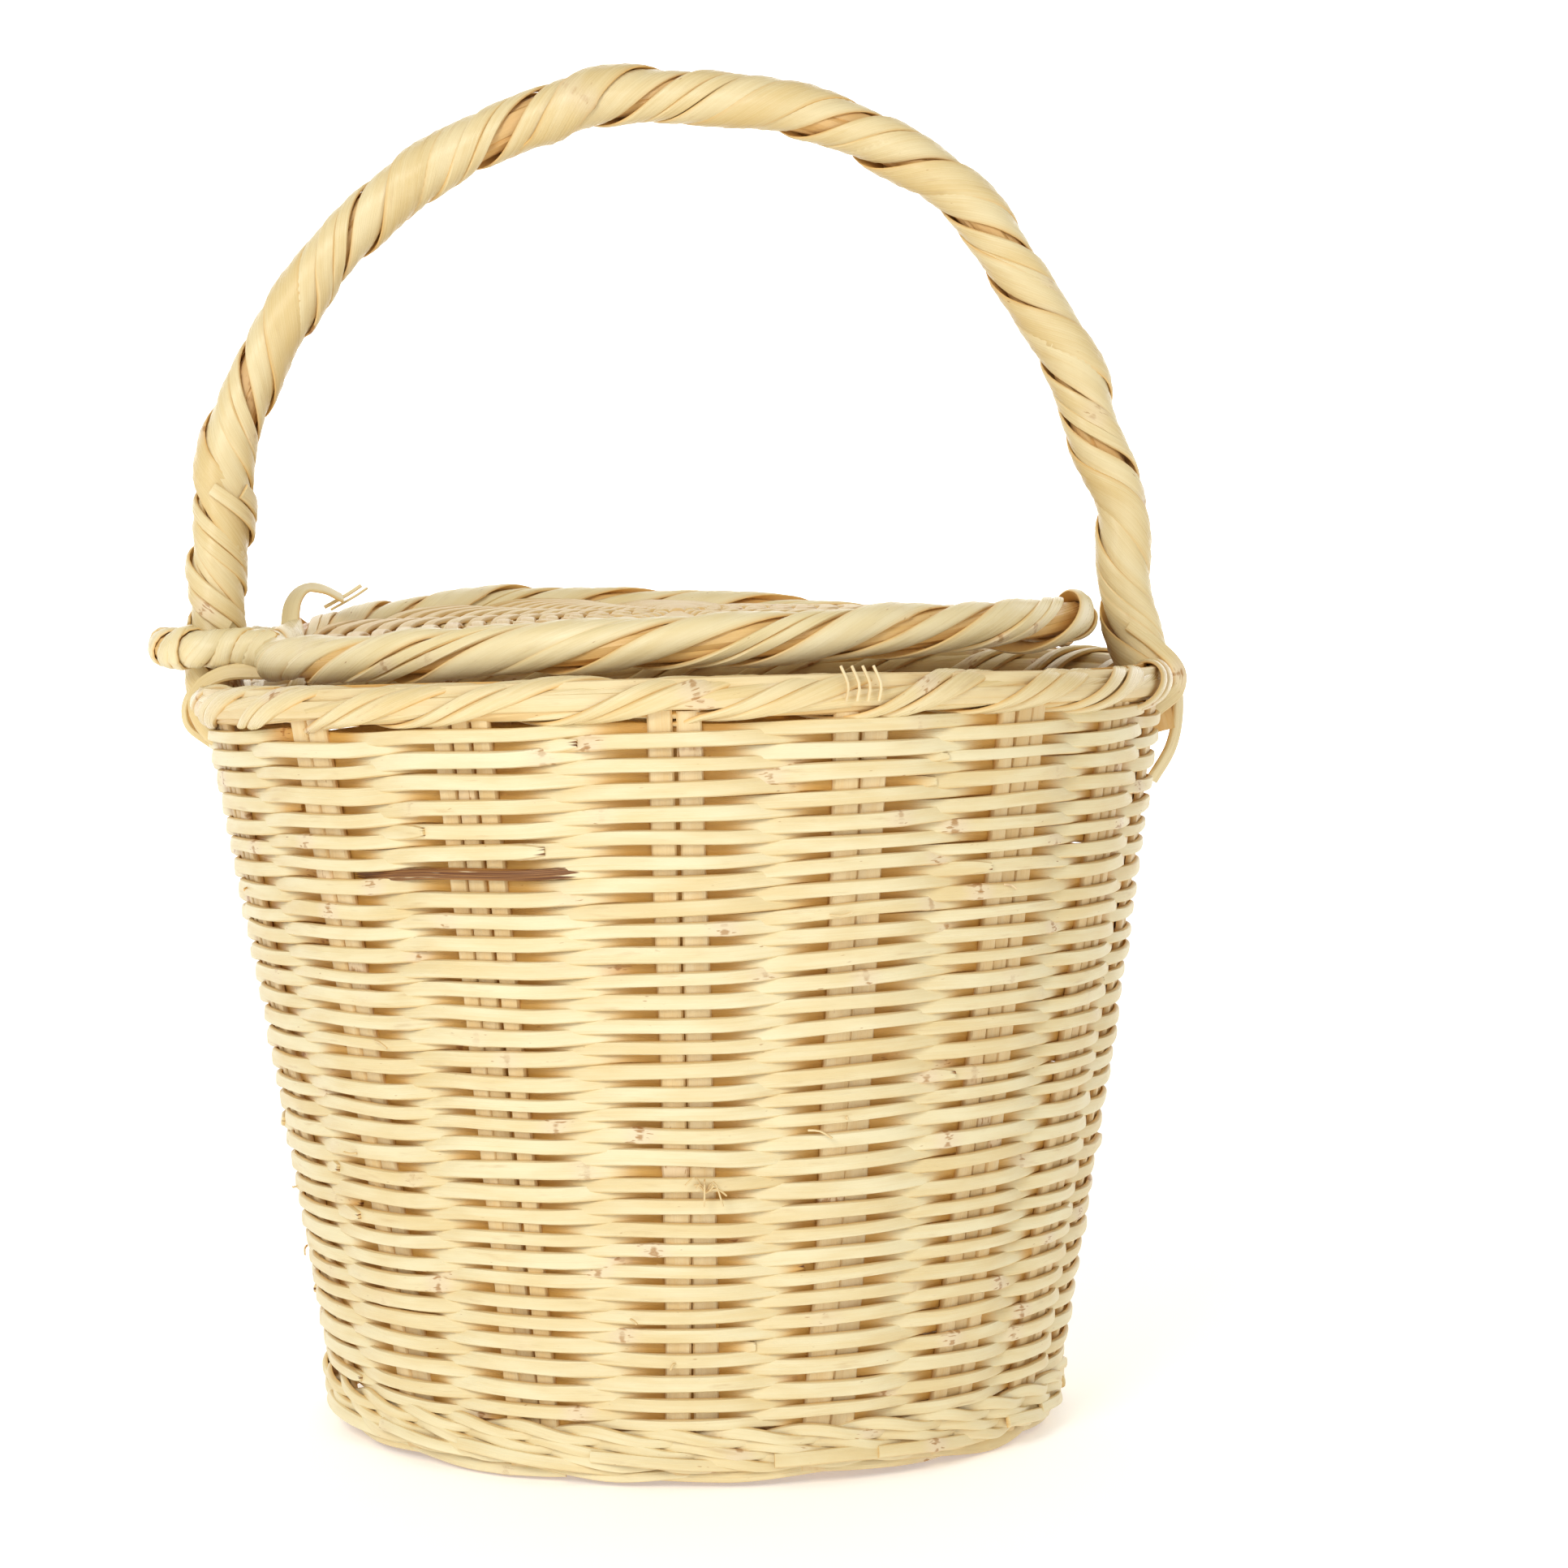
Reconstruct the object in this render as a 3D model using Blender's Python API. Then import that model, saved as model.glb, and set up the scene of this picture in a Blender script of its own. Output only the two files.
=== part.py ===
"""Round wicker basket with a fixed hoop handle and a woven lid that is looped round one handle leg.

Metres, +Z up. The basket stands on z = 0 and the handle's hoop lies across X, with the lid's loop on the
-X leg. BASKET_X and BASKET_Y centre the whole object on the origin. Each piece of cane is a closed
strip lofted through its cross-sections, and neighbouring strips keep a gap instead of touching.
"""

import math

import bmesh
import bpy
from mathutils import Vector

# Placing: the lid's loop reaches further out than the handle's tail, so the base sits off centre.
BASKET_X = 0.00878
BASKET_Y = 0.00036
GAP = 0.00035

# Wall: a cone of mid radius WALL_FOOT_RADIUS + WALL_FLARE * z whose centre leans over towards -X.
WALL_FOOT_RADIUS = 0.1092
WALL_FLARE = 0.1565
WALL_LEAN = -0.0025 / 0.22

STAKE_COUNT = 17
STAKE_WIDTH = 0.010
STAKE_THICKNESS = 0.0022
STAKE_BOTTOM = 0.0095
STAKE_TOP = 0.2225
FIRST_STAKE_ANGLE = math.radians(-90)

WEAVER_COUNT = 10
WEAVER_THICKNESS = 0.0020
WEAVE_BOTTOM = 0.0170
WEAVE_TOP = 0.2090
WEAVE_OFFSET = (STAKE_THICKNESS + WEAVER_THICKNESS) / 2 + 0.00045
FLAT_MARGIN = 0.001
BAND_SEGMENTS = 3 * STAKE_COUNT

# Foot: the ring that the basket stands on, and the band that turns the stakes up above it.
FOOT_INNER = 0.1023
FOOT_OUTER = 0.1142
FOOT_HEIGHT = 0.0088
FOOT_SEGMENTS = 48
UPSETT_BOTTOM = 0.0095
UPSETT_TOP = 0.0165

# Base: two layers of crossed sticks that end over the foot, woven round with flat rings inside it.
BASE_Z = 0.0108
BASE_STICK_REACH = 0.1075
BASE_WEAVE_OUTER = 0.1015
BASE_WEAVE_INNER = 0.0240
BASE_STICKS_EACH_WAY = 2
BASE_STICK_WIDTH = 0.008
BASE_STICK_THICKNESS = 0.0022
BASE_RING_COUNT = 3

# Rim: two hoops with the stakes' tops between them, lashed over and over.
HOOP_BOTTOM = 0.2120
HOOP_TOP = 0.2240
HOOP_NEAR = 0.0018
HOOP_FAR = 0.0045
LASHING_GAP = 0.0006
LASHING_THICKNESS = 0.0018
LASHING_WIDTH = 0.012
LASHING_ADVANCE = math.radians(8)
LEG_CLEARANCE = math.radians(8)

# Handle: a round core whose flat ends are pushed down between the hoops, beside a stake.
HANDLE_LINE = [
    (-0.1460, 0.2290),
    (-0.1460, 0.2620),
    (-0.1425, 0.2880),
    (-0.1372, 0.3145),
    (-0.1225, 0.3440),
    (-0.0970, 0.3710),
    (-0.0640, 0.3910),
    (-0.0300, 0.4030),
    (0.0080, 0.4040),
    (0.0430, 0.3955),
    (0.0740, 0.3790),
    (0.0970, 0.3560),
    (0.1135, 0.3290),
    (0.1245, 0.3010),
    (0.1315, 0.2750),
    (0.1350, 0.2500),
    (0.1393, 0.2290),
]
HANDLE_SECTIONS = 44
HANDLE_CORE_RADIUS = 0.0046
TANG_BOTTOM = 0.165
TANG_TOP = 0.2250
TANG_WIDTH = 0.009
TANG_THICKNESS = 0.0022
LEG_ANGLES = (0.0, math.pi)
WRAP_INNER = 0.0057
WRAP_OUTER = 0.0076
WRAP_TURNS = 19
WRAP_STARTS = 2
WRAP_STEPS_PER_TURN = 8
TAIL_WIDTH = 0.009
TAIL_THICKNESS = 0.0016

# Lid: a lashed hoop round crossed sticks and woven rings, lying a little off level on the rim.
LID_CENTRE_X = -0.0055
LID_TOP_Z = 0.2435
LID_TILT_X = math.radians(1.1)
LID_TILT_Y = math.radians(-1.3)
LID_HOOP_INNER = 0.1182
LID_HOOP_OUTER = 0.1262
LID_HOOP_HALF_HEIGHT = 0.0045
LID_HOOP_SEGMENTS = 48
LID_LASHING_TURNS = 16
LID_STICKS_EACH_WAY = 4
LID_STICK_WIDTH = 0.005
LID_STICK_THICKNESS = 0.0020
LID_WEAVE_INNER = 0.0280
LID_RING_COUNT = 3
LID_RING_THICKNESS = 0.0018

# Eye: the U-shaped rope loop that joins the lid to the handle's -X leg.
EYE_X = HANDLE_LINE[0][0]
EYE_Z = 0.2358
EYE_INNER = 0.0097
EYE_OUTER = 0.0225
EYE_HALF_HEIGHT = 0.0068
EYE_BEND_STEPS = 10
BINDING_WIDTH = 0.005
BINDING_THICKNESS = 0.0012

LASHING_REACH = LASHING_GAP + LASHING_THICKNESS
LID_RADIUS = LID_HOOP_OUTER + LASHING_REACH
LID_HALF_HEIGHT = LID_HOOP_HALF_HEIGHT + LASHING_REACH
LID_HINGE_X = LID_CENTRE_X - LID_RADIUS
EYE_ARM_END = LID_HINGE_X - 0.0005

PALE_CANE = (0.79, 0.62, 0.35, 1.0)
STRAW_CANE = (0.74, 0.56, 0.28, 1.0)
CREAM_CANE = (0.82, 0.66, 0.41, 1.0)


# ---------------------------------------------------------------- scene helpers


def clear_scene():
    for obj in list(bpy.data.objects):
        bpy.data.objects.remove(obj)


def cane_material(name, colour, roughness):
    material = bpy.data.materials.new(name)
    material.use_nodes = True
    shader = material.node_tree.nodes["Principled BSDF"]
    shader.inputs["Base Color"].default_value = colour
    shader.inputs["Roughness"].default_value = roughness
    shader.inputs["Metallic"].default_value = 0.0
    return material


def add_frame(name, location, rotation=(0.0, 0.0, 0.0), parent=None):
    """An empty that a group of pieces hangs from."""
    frame = bpy.data.objects.new(name, None)
    bpy.context.scene.collection.objects.link(frame)
    frame.parent = parent
    frame.location = location
    frame.rotation_euler = rotation
    return frame


def loft(name, sections, closed, material, frame):
    """A closed solid through sections of equal point count: a ring when closed, capped when not."""
    mesh = bpy.data.meshes.new(name)
    build = bmesh.new()
    rows = [[build.verts.new(point) for point in section] for section in sections]
    around = len(rows[0])
    pairs = list(zip(rows, rows[1:], strict=False))
    if closed:
        pairs.append((rows[-1], rows[0]))
    else:
        build.faces.new(rows[0])
        build.faces.new(list(reversed(rows[-1])))
    for here, there in pairs:
        for i in range(around):
            j = (i + 1) % around
            build.faces.new((here[i], there[i], there[j], here[j]))
    bmesh.ops.recalc_face_normals(build, faces=build.faces)
    if build.calc_volume(signed=True) < 0:
        bmesh.ops.reverse_faces(build, faces=build.faces)
    build.to_mesh(mesh)
    build.free()
    mesh.materials.append(material)
    obj = bpy.data.objects.new(name, mesh)
    bpy.context.scene.collection.objects.link(obj)
    obj.parent = frame
    return obj


# ---------------------------------------------------------------- wall geometry


def wall_radius(z):
    return WALL_FOOT_RADIUS + WALL_FLARE * z


def wall_point(angle, z, offset):
    """A point beside the wall's mid surface, offset outwards from it."""
    radius = wall_radius(z) + offset
    return Vector((WALL_LEAN * z + radius * math.cos(angle), radius * math.sin(angle), z))


def stake_angle(index):
    return FIRST_STAKE_ANGLE + index * math.tau / STAKE_COUNT


def wrapped(angle):
    return (angle + math.pi) % math.tau - math.pi


def post_edges(index, z, margin, legs=LEG_ANGLES):
    """The angles of a stake's two edges at height z, and those of a handle tang that is beside it."""
    angle = stake_angle(index)
    posts = [(angle, STAKE_WIDTH)]
    for leg in legs:
        away = wrapped(leg - angle)
        if abs(away) < math.pi / STAKE_COUNT:
            posts.append((angle + away, TANG_WIDTH))
    edges = []
    for middle, width in sorted(posts):
        reach = (width / 2 + margin) / wall_radius(z)
        edges += [middle - reach, middle + reach]
    return edges


def make_stakes(material, frame):
    """Flat uprights that follow the wall's slope from the foot to the rim."""
    for index in range(STAKE_COUNT):
        sections = []
        for z in (STAKE_BOTTOM, STAKE_TOP):
            centre = wall_point(stake_angle(index), z, 0)
            across = Vector((-math.sin(stake_angle(index)), math.cos(stake_angle(index)), 0))
            out = Vector((math.cos(stake_angle(index)), math.sin(stake_angle(index)), 0))
            half_width = across * STAKE_WIDTH / 2
            half_depth = out * STAKE_THICKNESS / 2
            sections.append(
                [
                    centre - half_width - half_depth,
                    centre + half_width - half_depth,
                    centre + half_width + half_depth,
                    centre - half_width + half_depth,
                ]
            )
        loft(f"stake_{index + 1:02d}", sections, False, material, frame)


def make_weavers(material, frame):
    """Bands that pass outside one stake and inside the next, each course the other way round.

    The count of stakes is odd, so each band has its butt joint behind two stakes at the back.
    """
    course = (WEAVE_TOP - WEAVE_BOTTOM) / WEAVER_COUNT
    seam = STAKE_COUNT // 2 + 1
    for number in range(WEAVER_COUNT):
        low = WEAVE_BOTTOM + number * course + GAP / 2
        high = low + course - GAP
        legs = LEG_ANGLES if high > TANG_BOTTOM - GAP else ()

        def section(angles, offset):
            inner, outer = offset - WEAVER_THICKNESS / 2, offset + WEAVER_THICKNESS / 2
            return [
                wall_point(angles[0], low, inner),
                wall_point(angles[0], low, outer),
                wall_point(angles[1], high, outer),
                wall_point(angles[1], high, inner),
            ]

        sections = []
        joint = stake_angle(seam) - math.pi / STAKE_COUNT
        half_joint = 0.0005 / wall_radius(low)
        for step in range(STAKE_COUNT):
            index = seam + step
            offset = WEAVE_OFFSET * (1 if (step + number) % 2 == 0 else -1)
            if step == 0:
                sections.append(section((joint + half_joint,) * 2, offset))
            edges = [post_edges(index, z, FLAT_MARGIN, legs) for z in (low, high)]
            for angles in zip(*edges, strict=True):
                sections.append(section(angles, offset))
            if step == STAKE_COUNT - 1:
                sections.append(section((joint + math.tau - half_joint,) * 2, offset))
        loft(f"weaver_{number + 1:02d}", sections, False, material, frame)


def band_round_wall(name, low, high, near, far, material, frame):
    """A plain hoop that follows the wall between two offsets from its mid surface."""
    sections = []
    for step in range(BAND_SEGMENTS):
        angle = step * math.tau / BAND_SEGMENTS
        corners = ((low, near), (low, far), (high, far), (high, near))
        sections.append([wall_point(angle, z, offset) for z, offset in corners])
    return loft(name, sections, True, material, frame)


# ---------------------------------------------------------------- foot and base


def make_foot(material, frame):
    """A hexagonal ring with a flat underside, which takes the basket's weight."""
    bevel = (FOOT_OUTER - FOOT_INNER) / 7
    profile = [
        (FOOT_INNER + bevel, 0.0),
        (FOOT_OUTER - bevel, 0.0),
        (FOOT_OUTER, FOOT_HEIGHT / 2),
        (FOOT_OUTER - bevel, FOOT_HEIGHT),
        (FOOT_INNER + bevel, FOOT_HEIGHT),
        (FOOT_INNER, FOOT_HEIGHT / 2),
    ]
    sections = []
    for step in range(FOOT_SEGMENTS):
        angle = step * math.tau / FOOT_SEGMENTS
        sections.append([(r * math.cos(angle), r * math.sin(angle), z) for r, z in profile])
    loft("foot_border", sections, True, material, frame)


def make_crossed_sticks(prefix, each_way, width, thickness, radius, centre, material, frame):
    """Sticks that cross in two layers at the centre and fan out into evenly spaced spokes."""
    pitch = width + 2 * GAP
    crossing = each_way * pitch / 2 + 0.0015
    spacing = math.tau / (4 * each_way)
    layer_height = thickness / 2 + GAP
    number = 0
    for turned in (False, True):
        level = layer_height if turned else -layer_height
        for j in range(each_way):
            place = j - (each_way - 1) / 2
            fan = place * spacing
            end = Vector((radius * math.cos(fan), radius * math.sin(fan)))
            bend = Vector((crossing, place * pitch))
            settled = bend.lerp(end, 0.12)
            half_line = [(end, 0.0), (settled, 0.0), (bend, level)]
            line = [(Vector((-p.x, p.y)), z) for p, z in half_line]
            line += [(p, z) for p, z in reversed(half_line)]
            sections = []
            for step, (point, z) in enumerate(line):
                before = line[max(step - 1, 0)][0]
                after = line[min(step + 1, len(line) - 1)][0]
                along = (after - before).normalized()
                across = Vector((-along.y, along.x)) * width / 2
                section = []
                for sign, lift in ((-1, -1), (1, -1), (1, 1), (-1, 1)):
                    x, y = point + across * sign
                    if turned:
                        x, y = -y, x
                    section.append(centre + Vector((x, y, z + lift * thickness / 2)))
                sections.append(section)
            number += 1
            loft(f"{prefix}_{number}", sections, False, material, frame)


def make_woven_rings(prefix, count, spokes, stick, inner, outer, thickness, centre, material, frame):
    """Flat rings that pass over one spoke and under the next. stick is its (width, thickness)."""
    width = (outer - inner) / count
    wave = (stick[1] + thickness) / 2 + GAP
    for number in range(count):
        near = inner + number * width + GAP / 2
        far = near + width - GAP
        sections = []
        for spoke in range(spokes):
            middle = (spoke + 0.5) * math.tau / spokes
            level = wave if (spoke + number) % 2 == 0 else -wave
            for side in (-1, 1):
                section = []
                for radius, lift in ((near, -1), (far, -1), (far, 1), (near, 1)):
                    angle = middle + side * (stick[0] / 2 + FLAT_MARGIN) / radius
                    z = level + lift * thickness / 2
                    place = Vector((radius * math.cos(angle), radius * math.sin(angle), z))
                    section.append(centre + place)
                sections.append(section)
        loft(f"{prefix}_{number + 1}", sections, True, material, frame)


# ---------------------------------------------------------------- lashings


def lashing(name, corner, passes, material, frame):
    """A strip wound round a hoop of rectangular section.

    corner(side, level, angle, depth) gives the point at a corner of the hoop, depth away from it.
    passes lists each turn's (bottom angle, top angle): the strip climbs the outer face between
    them, crosses the top, and goes down the inner face to the next turn's bottom angle.
    """
    sections = []
    near = LASHING_GAP

    def add(side, level, angle, half_angle):
        section = []
        for direction, depth in ((-1, near), (-1, LASHING_REACH), (1, LASHING_REACH), (1, near)):
            section.append(corner(side, level, angle + direction * half_angle, depth))
        sections.append(section)

    for bottom, top, half_angle in passes:
        add(1, -1, bottom, half_angle)
        add(1, 0, (bottom + top) / 2, half_angle)
        add(1, 1, top, half_angle)
        add(-1, 1, top, half_angle)
        following = passes[(passes.index((bottom, top, half_angle)) + 1) % len(passes)]
        next_bottom = top + (following[0] - top) % math.tau
        add(-1, 0, (top + next_bottom) / 2, half_angle)
        add(-1, -1, next_bottom, half_angle)
    loft(name, sections, True, material, frame)


def make_rim(material, lashing_material, frame):
    low, high = HOOP_BOTTOM, HOOP_TOP
    band_round_wall("rim_hoop_outer", low, high, HOOP_NEAR, HOOP_FAR, material, frame)
    band_round_wall("rim_hoop_inner", low, high, -HOOP_FAR, -HOOP_NEAR, material, frame)

    def corner(side, level, angle, depth):
        middle, half = (low + high) / 2, (high - low) / 2
        return wall_point(angle, middle + level * (half + depth), side * (HOOP_FAR + depth))

    half_angle = LASHING_WIDTH / 2 / wall_radius(high)
    passes = []
    for index in range(STAKE_COUNT):
        bottom = (post_edges(index, low, 0)[-1] + post_edges(index + 1, low, 0)[0]) / 2
        top = bottom + LASHING_ADVANCE
        for leg in LEG_ANGLES:
            away = wrapped(top - leg)
            if abs(away) < LEG_CLEARANCE:
                top += math.copysign(LEG_CLEARANCE, away) - away
        passes.append((bottom, top, half_angle))
    lashing("rim_lashing", corner, passes, lashing_material, frame)


# ---------------------------------------------------------------- handle


def smooth_line(points, steps):
    """Points along a Catmull-Rom curve through points, evenly spaced by length."""
    knots = [Vector(p) for p in points]
    knots = [2 * knots[0] - knots[1], *knots, 2 * knots[-1] - knots[-2]]
    fine = []
    samples = 12
    for a, b, c, d in zip(knots, knots[1:], knots[2:], knots[3:], strict=False):
        for step in range(samples):
            t = step / samples
            fine.append(
                0.5
                * (
                    2 * b
                    + (c - a) * t
                    + (2 * a - 5 * b + 4 * c - d) * t * t
                    + (3 * b - a - 3 * c + d) * t**3
                )
            )
    fine.append(knots[-2])
    lengths = [0.0]
    for a, b in zip(fine, fine[1:], strict=False):
        lengths.append(lengths[-1] + (b - a).length)
    line = []
    at = 0
    for step in range(steps + 1):
        target = lengths[-1] * step / steps
        while at < len(fine) - 2 and lengths[at + 1] < target:
            at += 1
        share = (target - lengths[at]) / (lengths[at + 1] - lengths[at])
        line.append(fine[at].lerp(fine[at + 1], share))
    return line, lengths[-1]


def octagon(centre, along, half_across, half_deep):
    """An eight-sided section at a point of the handle's plane, square to the direction along."""
    out = Vector((along.y, -along.x))
    points = []
    for step in range(8):
        angle = (step + 0.5) * math.tau / 8
        x, z = centre + out * (half_deep * math.cos(angle))
        points.append(Vector((x, half_across * math.sin(angle), z)))
    return points


def make_handle_core(material, frame):
    line, _ = smooth_line(HANDLE_LINE, HANDLE_SECTIONS)
    sections = []

    def tang(leg, z):
        centre = wall_point(leg, z, 0)
        slope = WALL_FLARE * math.cos(leg) + WALL_LEAN
        along = Vector((slope, 1.0)).normalized()
        if leg == 0.0:
            along.negate()
        corner = math.cos(math.tau / 16)
        half_across = TANG_WIDTH / 2 / corner
        half_deep = TANG_THICKNESS / 2 / corner
        return octagon(Vector((centre.x, z)), along, half_across, half_deep)

    sections += [tang(math.pi, TANG_BOTTOM), tang(math.pi, TANG_TOP)]
    for step, point in enumerate(line):
        before, after = line[max(step - 1, 0)], line[min(step + 1, len(line) - 1)]
        along = (after - before).normalized()
        sections.append(octagon(point, along, HANDLE_CORE_RADIUS, HANDLE_CORE_RADIUS))
    sections += [tang(0.0, TANG_TOP), tang(0.0, TANG_BOTTOM)]
    loft("handle_core", sections, False, material, frame)


def make_handle_wraps(material, frame):
    """Two strips wound side by side along the hoop, outside the core."""
    fine_steps = 400
    line, length = smooth_line(HANDLE_LINE, fine_steps)

    def at(distance, angle, radius):
        place = min(max(distance / length * fine_steps, 0.0), fine_steps - 1e-6)
        low = int(place)
        point = line[low].lerp(line[low + 1], place - low)
        before, after = line[max(low - 3, 0)], line[min(low + 4, fine_steps)]
        along = (after - before).normalized()
        x, z = point + Vector((along.y, -along.x)) * (radius * math.cos(angle))
        return Vector((x, radius * math.sin(angle), z))

    pitch = (length + 2 * GAP) / (WRAP_TURNS + 1 / WRAP_STARTS)
    width = pitch / WRAP_STARTS - 2 * GAP
    for start in range(WRAP_STARTS):
        sections = []
        for step in range(WRAP_TURNS * WRAP_STEPS_PER_TURN + 1):
            turn = step / WRAP_STEPS_PER_TURN
            distance = width / 2 + turn * pitch
            angle = math.tau * (turn + start / WRAP_STARTS)
            sections.append(
                [
                    at(distance - width / 2, angle, WRAP_INNER),
                    at(distance - width / 2, angle, WRAP_OUTER),
                    at(distance + width / 2, angle, WRAP_OUTER),
                    at(distance + width / 2, angle, WRAP_INNER),
                ]
            )
        loft(f"handle_wrap_{start + 1}", sections, False, material, frame)


def make_handle_tails(material, frame):
    """The ends of the handle's binding, which come down outside the rim and back into the wall."""
    reach = HOOP_FAR + LASHING_REACH + GAP + TAIL_THICKNESS / 2
    for name, leg in (("handle_tail_right", 0.0), ("handle_tail_left", math.pi)):
        line = [
            wall_point(leg, 0.2270, reach),
            wall_point(leg, 0.2090, reach + 0.0004),
            wall_point(leg, 0.2010, reach - 0.0010),
            wall_point(leg, 0.1950, reach - 0.0026),
        ]
        sections = []
        for point in line:
            deep = Vector((math.cos(leg), 0, 0)) * TAIL_THICKNESS / 2
            across = Vector((0, TAIL_WIDTH / 2, 0))
            corners = (-across - deep, across - deep, across + deep, -across + deep)
            sections.append([point + corner for corner in corners])
        loft(name, sections, False, material, frame)


# ---------------------------------------------------------------- lid


def make_lid(hoop_material, weave_material, frame):
    """The lid's pieces, in the lid's frame, whose origin is on the hinge line at its top edge."""
    centre = Vector((LID_RADIUS, 0, -LID_HALF_HEIGHT))

    def hoop_point(radius, angle, z):
        return centre + Vector((radius * math.cos(angle), radius * math.sin(angle), z))

    sections = []
    for step in range(LID_HOOP_SEGMENTS):
        angle = step * math.tau / LID_HOOP_SEGMENTS
        half = LID_HOOP_HALF_HEIGHT
        corners = (
            (LID_HOOP_INNER, -half),
            (LID_HOOP_OUTER, -half),
            (LID_HOOP_OUTER, half),
            (LID_HOOP_INNER, half),
        )
        sections.append([hoop_point(radius, angle, z) for radius, z in corners])
    loft("lid_hoop", sections, True, hoop_material, frame)

    def corner(side, level, angle, depth):
        edge = LID_HOOP_OUTER if side > 0 else LID_HOOP_INNER
        return hoop_point(edge + side * depth, angle, level * (LID_HOOP_HALF_HEIGHT + depth))

    pitch = math.tau / LID_LASHING_TURNS
    half_angle = LASHING_WIDTH / 2 / LID_RADIUS
    passes = [(k * pitch, k * pitch + LASHING_ADVANCE, half_angle) for k in range(LID_LASHING_TURNS)]
    lashing("lid_lashing", corner, passes, hoop_material, frame)

    slack = math.cos((pitch - LASHING_ADVANCE) / 4 + half_angle)
    weave_outer = LID_HOOP_INNER * slack - LASHING_REACH - GAP
    stick = (LID_STICK_WIDTH, LID_STICK_THICKNESS)
    make_crossed_sticks(
        "lid_stick", LID_STICKS_EACH_WAY, *stick, weave_outer, centre, hoop_material, frame
    )
    make_woven_rings(
        "lid_ring",
        LID_RING_COUNT,
        4 * LID_STICKS_EACH_WAY,
        stick,
        LID_WEAVE_INNER,
        weave_outer - GAP,
        LID_RING_THICKNESS,
        centre,
        weave_material,
        frame,
    )


def make_eye(material, binding_material, frame):
    """The U round the handle's leg, and a binding on each arm. The frame stands on the leg's axis."""
    middle = (EYE_INNER + EYE_OUTER) / 2
    half = (EYE_OUTER - EYE_INNER) / 2
    arm = EYE_ARM_END - EYE_X
    line = [(Vector((arm, middle)), Vector((0, 1)))]
    for step in range(EYE_BEND_STEPS + 1):
        angle = math.pi / 2 + math.pi * step / EYE_BEND_STEPS
        out = Vector((math.cos(angle), math.sin(angle)))
        line.append((out * middle, out))
    line.append((Vector((arm, -middle)), Vector((0, -1))))
    sections = []
    for point, out in line:
        corners = ((-1, -1), (1, -1), (1, 1), (-1, 1))
        section = []
        for side, level in corners:
            x, y = point + out * (side * half)
            section.append((x, y, level * EYE_HALF_HEIGHT))
        sections.append(section)
    loft("lid_eye", sections, False, material, frame)

    for name, side in (("eye_binding_front", -1), ("eye_binding_back", 1)):
        sections = []
        for out, up in ((-1, -1), (1, -1), (1, 1), (-1, 1)):
            section = []
            for along, depth in ((0, GAP), (1, GAP), (1, BINDING_THICKNESS), (0, BINDING_THICKNESS)):
                x = 0.0015 + along * BINDING_WIDTH
                y = side * (middle + out * (half + depth))
                section.append((x, y, up * (EYE_HALF_HEIGHT + depth)))
            sections.append(section)
        loft(name, sections, True, binding_material, frame)


# ---------------------------------------------------------------- assembly


def main():
    clear_scene()
    pale = cane_material("pale_cane", PALE_CANE, 0.5)
    straw = cane_material("straw_cane", STRAW_CANE, 0.45)
    cream = cane_material("cream_cane", CREAM_CANE, 0.4)

    basket = add_frame("basket_frame", (BASKET_X, BASKET_Y, 0))
    eye = add_frame("eye_frame", (EYE_X, 0, EYE_Z), parent=basket)
    hinge_place = (LID_HINGE_X, 0, LID_TOP_Z)
    lid = add_frame("lid_frame", hinge_place, (LID_TILT_X, LID_TILT_Y, 0), parent=basket)

    make_foot(straw, basket)
    upsett = (UPSETT_BOTTOM, UPSETT_TOP, HOOP_NEAR, HOOP_NEAR + WEAVER_THICKNESS)
    band_round_wall("upsett_band", *upsett, straw, basket)
    base_stick = (BASE_STICK_WIDTH, BASE_STICK_THICKNESS)
    base_centre = Vector((0, 0, BASE_Z))
    make_crossed_sticks(
        "base_stick", BASE_STICKS_EACH_WAY, *base_stick, BASE_STICK_REACH, base_centre, straw, basket
    )
    make_woven_rings(
        "base_ring",
        BASE_RING_COUNT,
        4 * BASE_STICKS_EACH_WAY,
        base_stick,
        BASE_WEAVE_INNER,
        BASE_WEAVE_OUTER,
        WEAVER_THICKNESS,
        base_centre,
        pale,
        basket,
    )
    make_stakes(straw, basket)
    make_weavers(pale, basket)
    make_rim(pale, cream, basket)
    make_handle_core(straw, basket)
    make_handle_wraps(cream, basket)
    make_handle_tails(cream, basket)
    make_eye(cream, pale, eye)
    make_lid(cream, pale, lid)


main()
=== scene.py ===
"""Looks of the round wicker basket: every strip of cane is swept as its own strip, over the CAD frame.

Metres, in the CAD frame. The wall is one spiral of flat cane that passes outside one group of
uprights and inside the next. The rim, the lid's edge, the lid's loop and the handle are bundles
bound with strips that wind round them.
"""

import math

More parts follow.
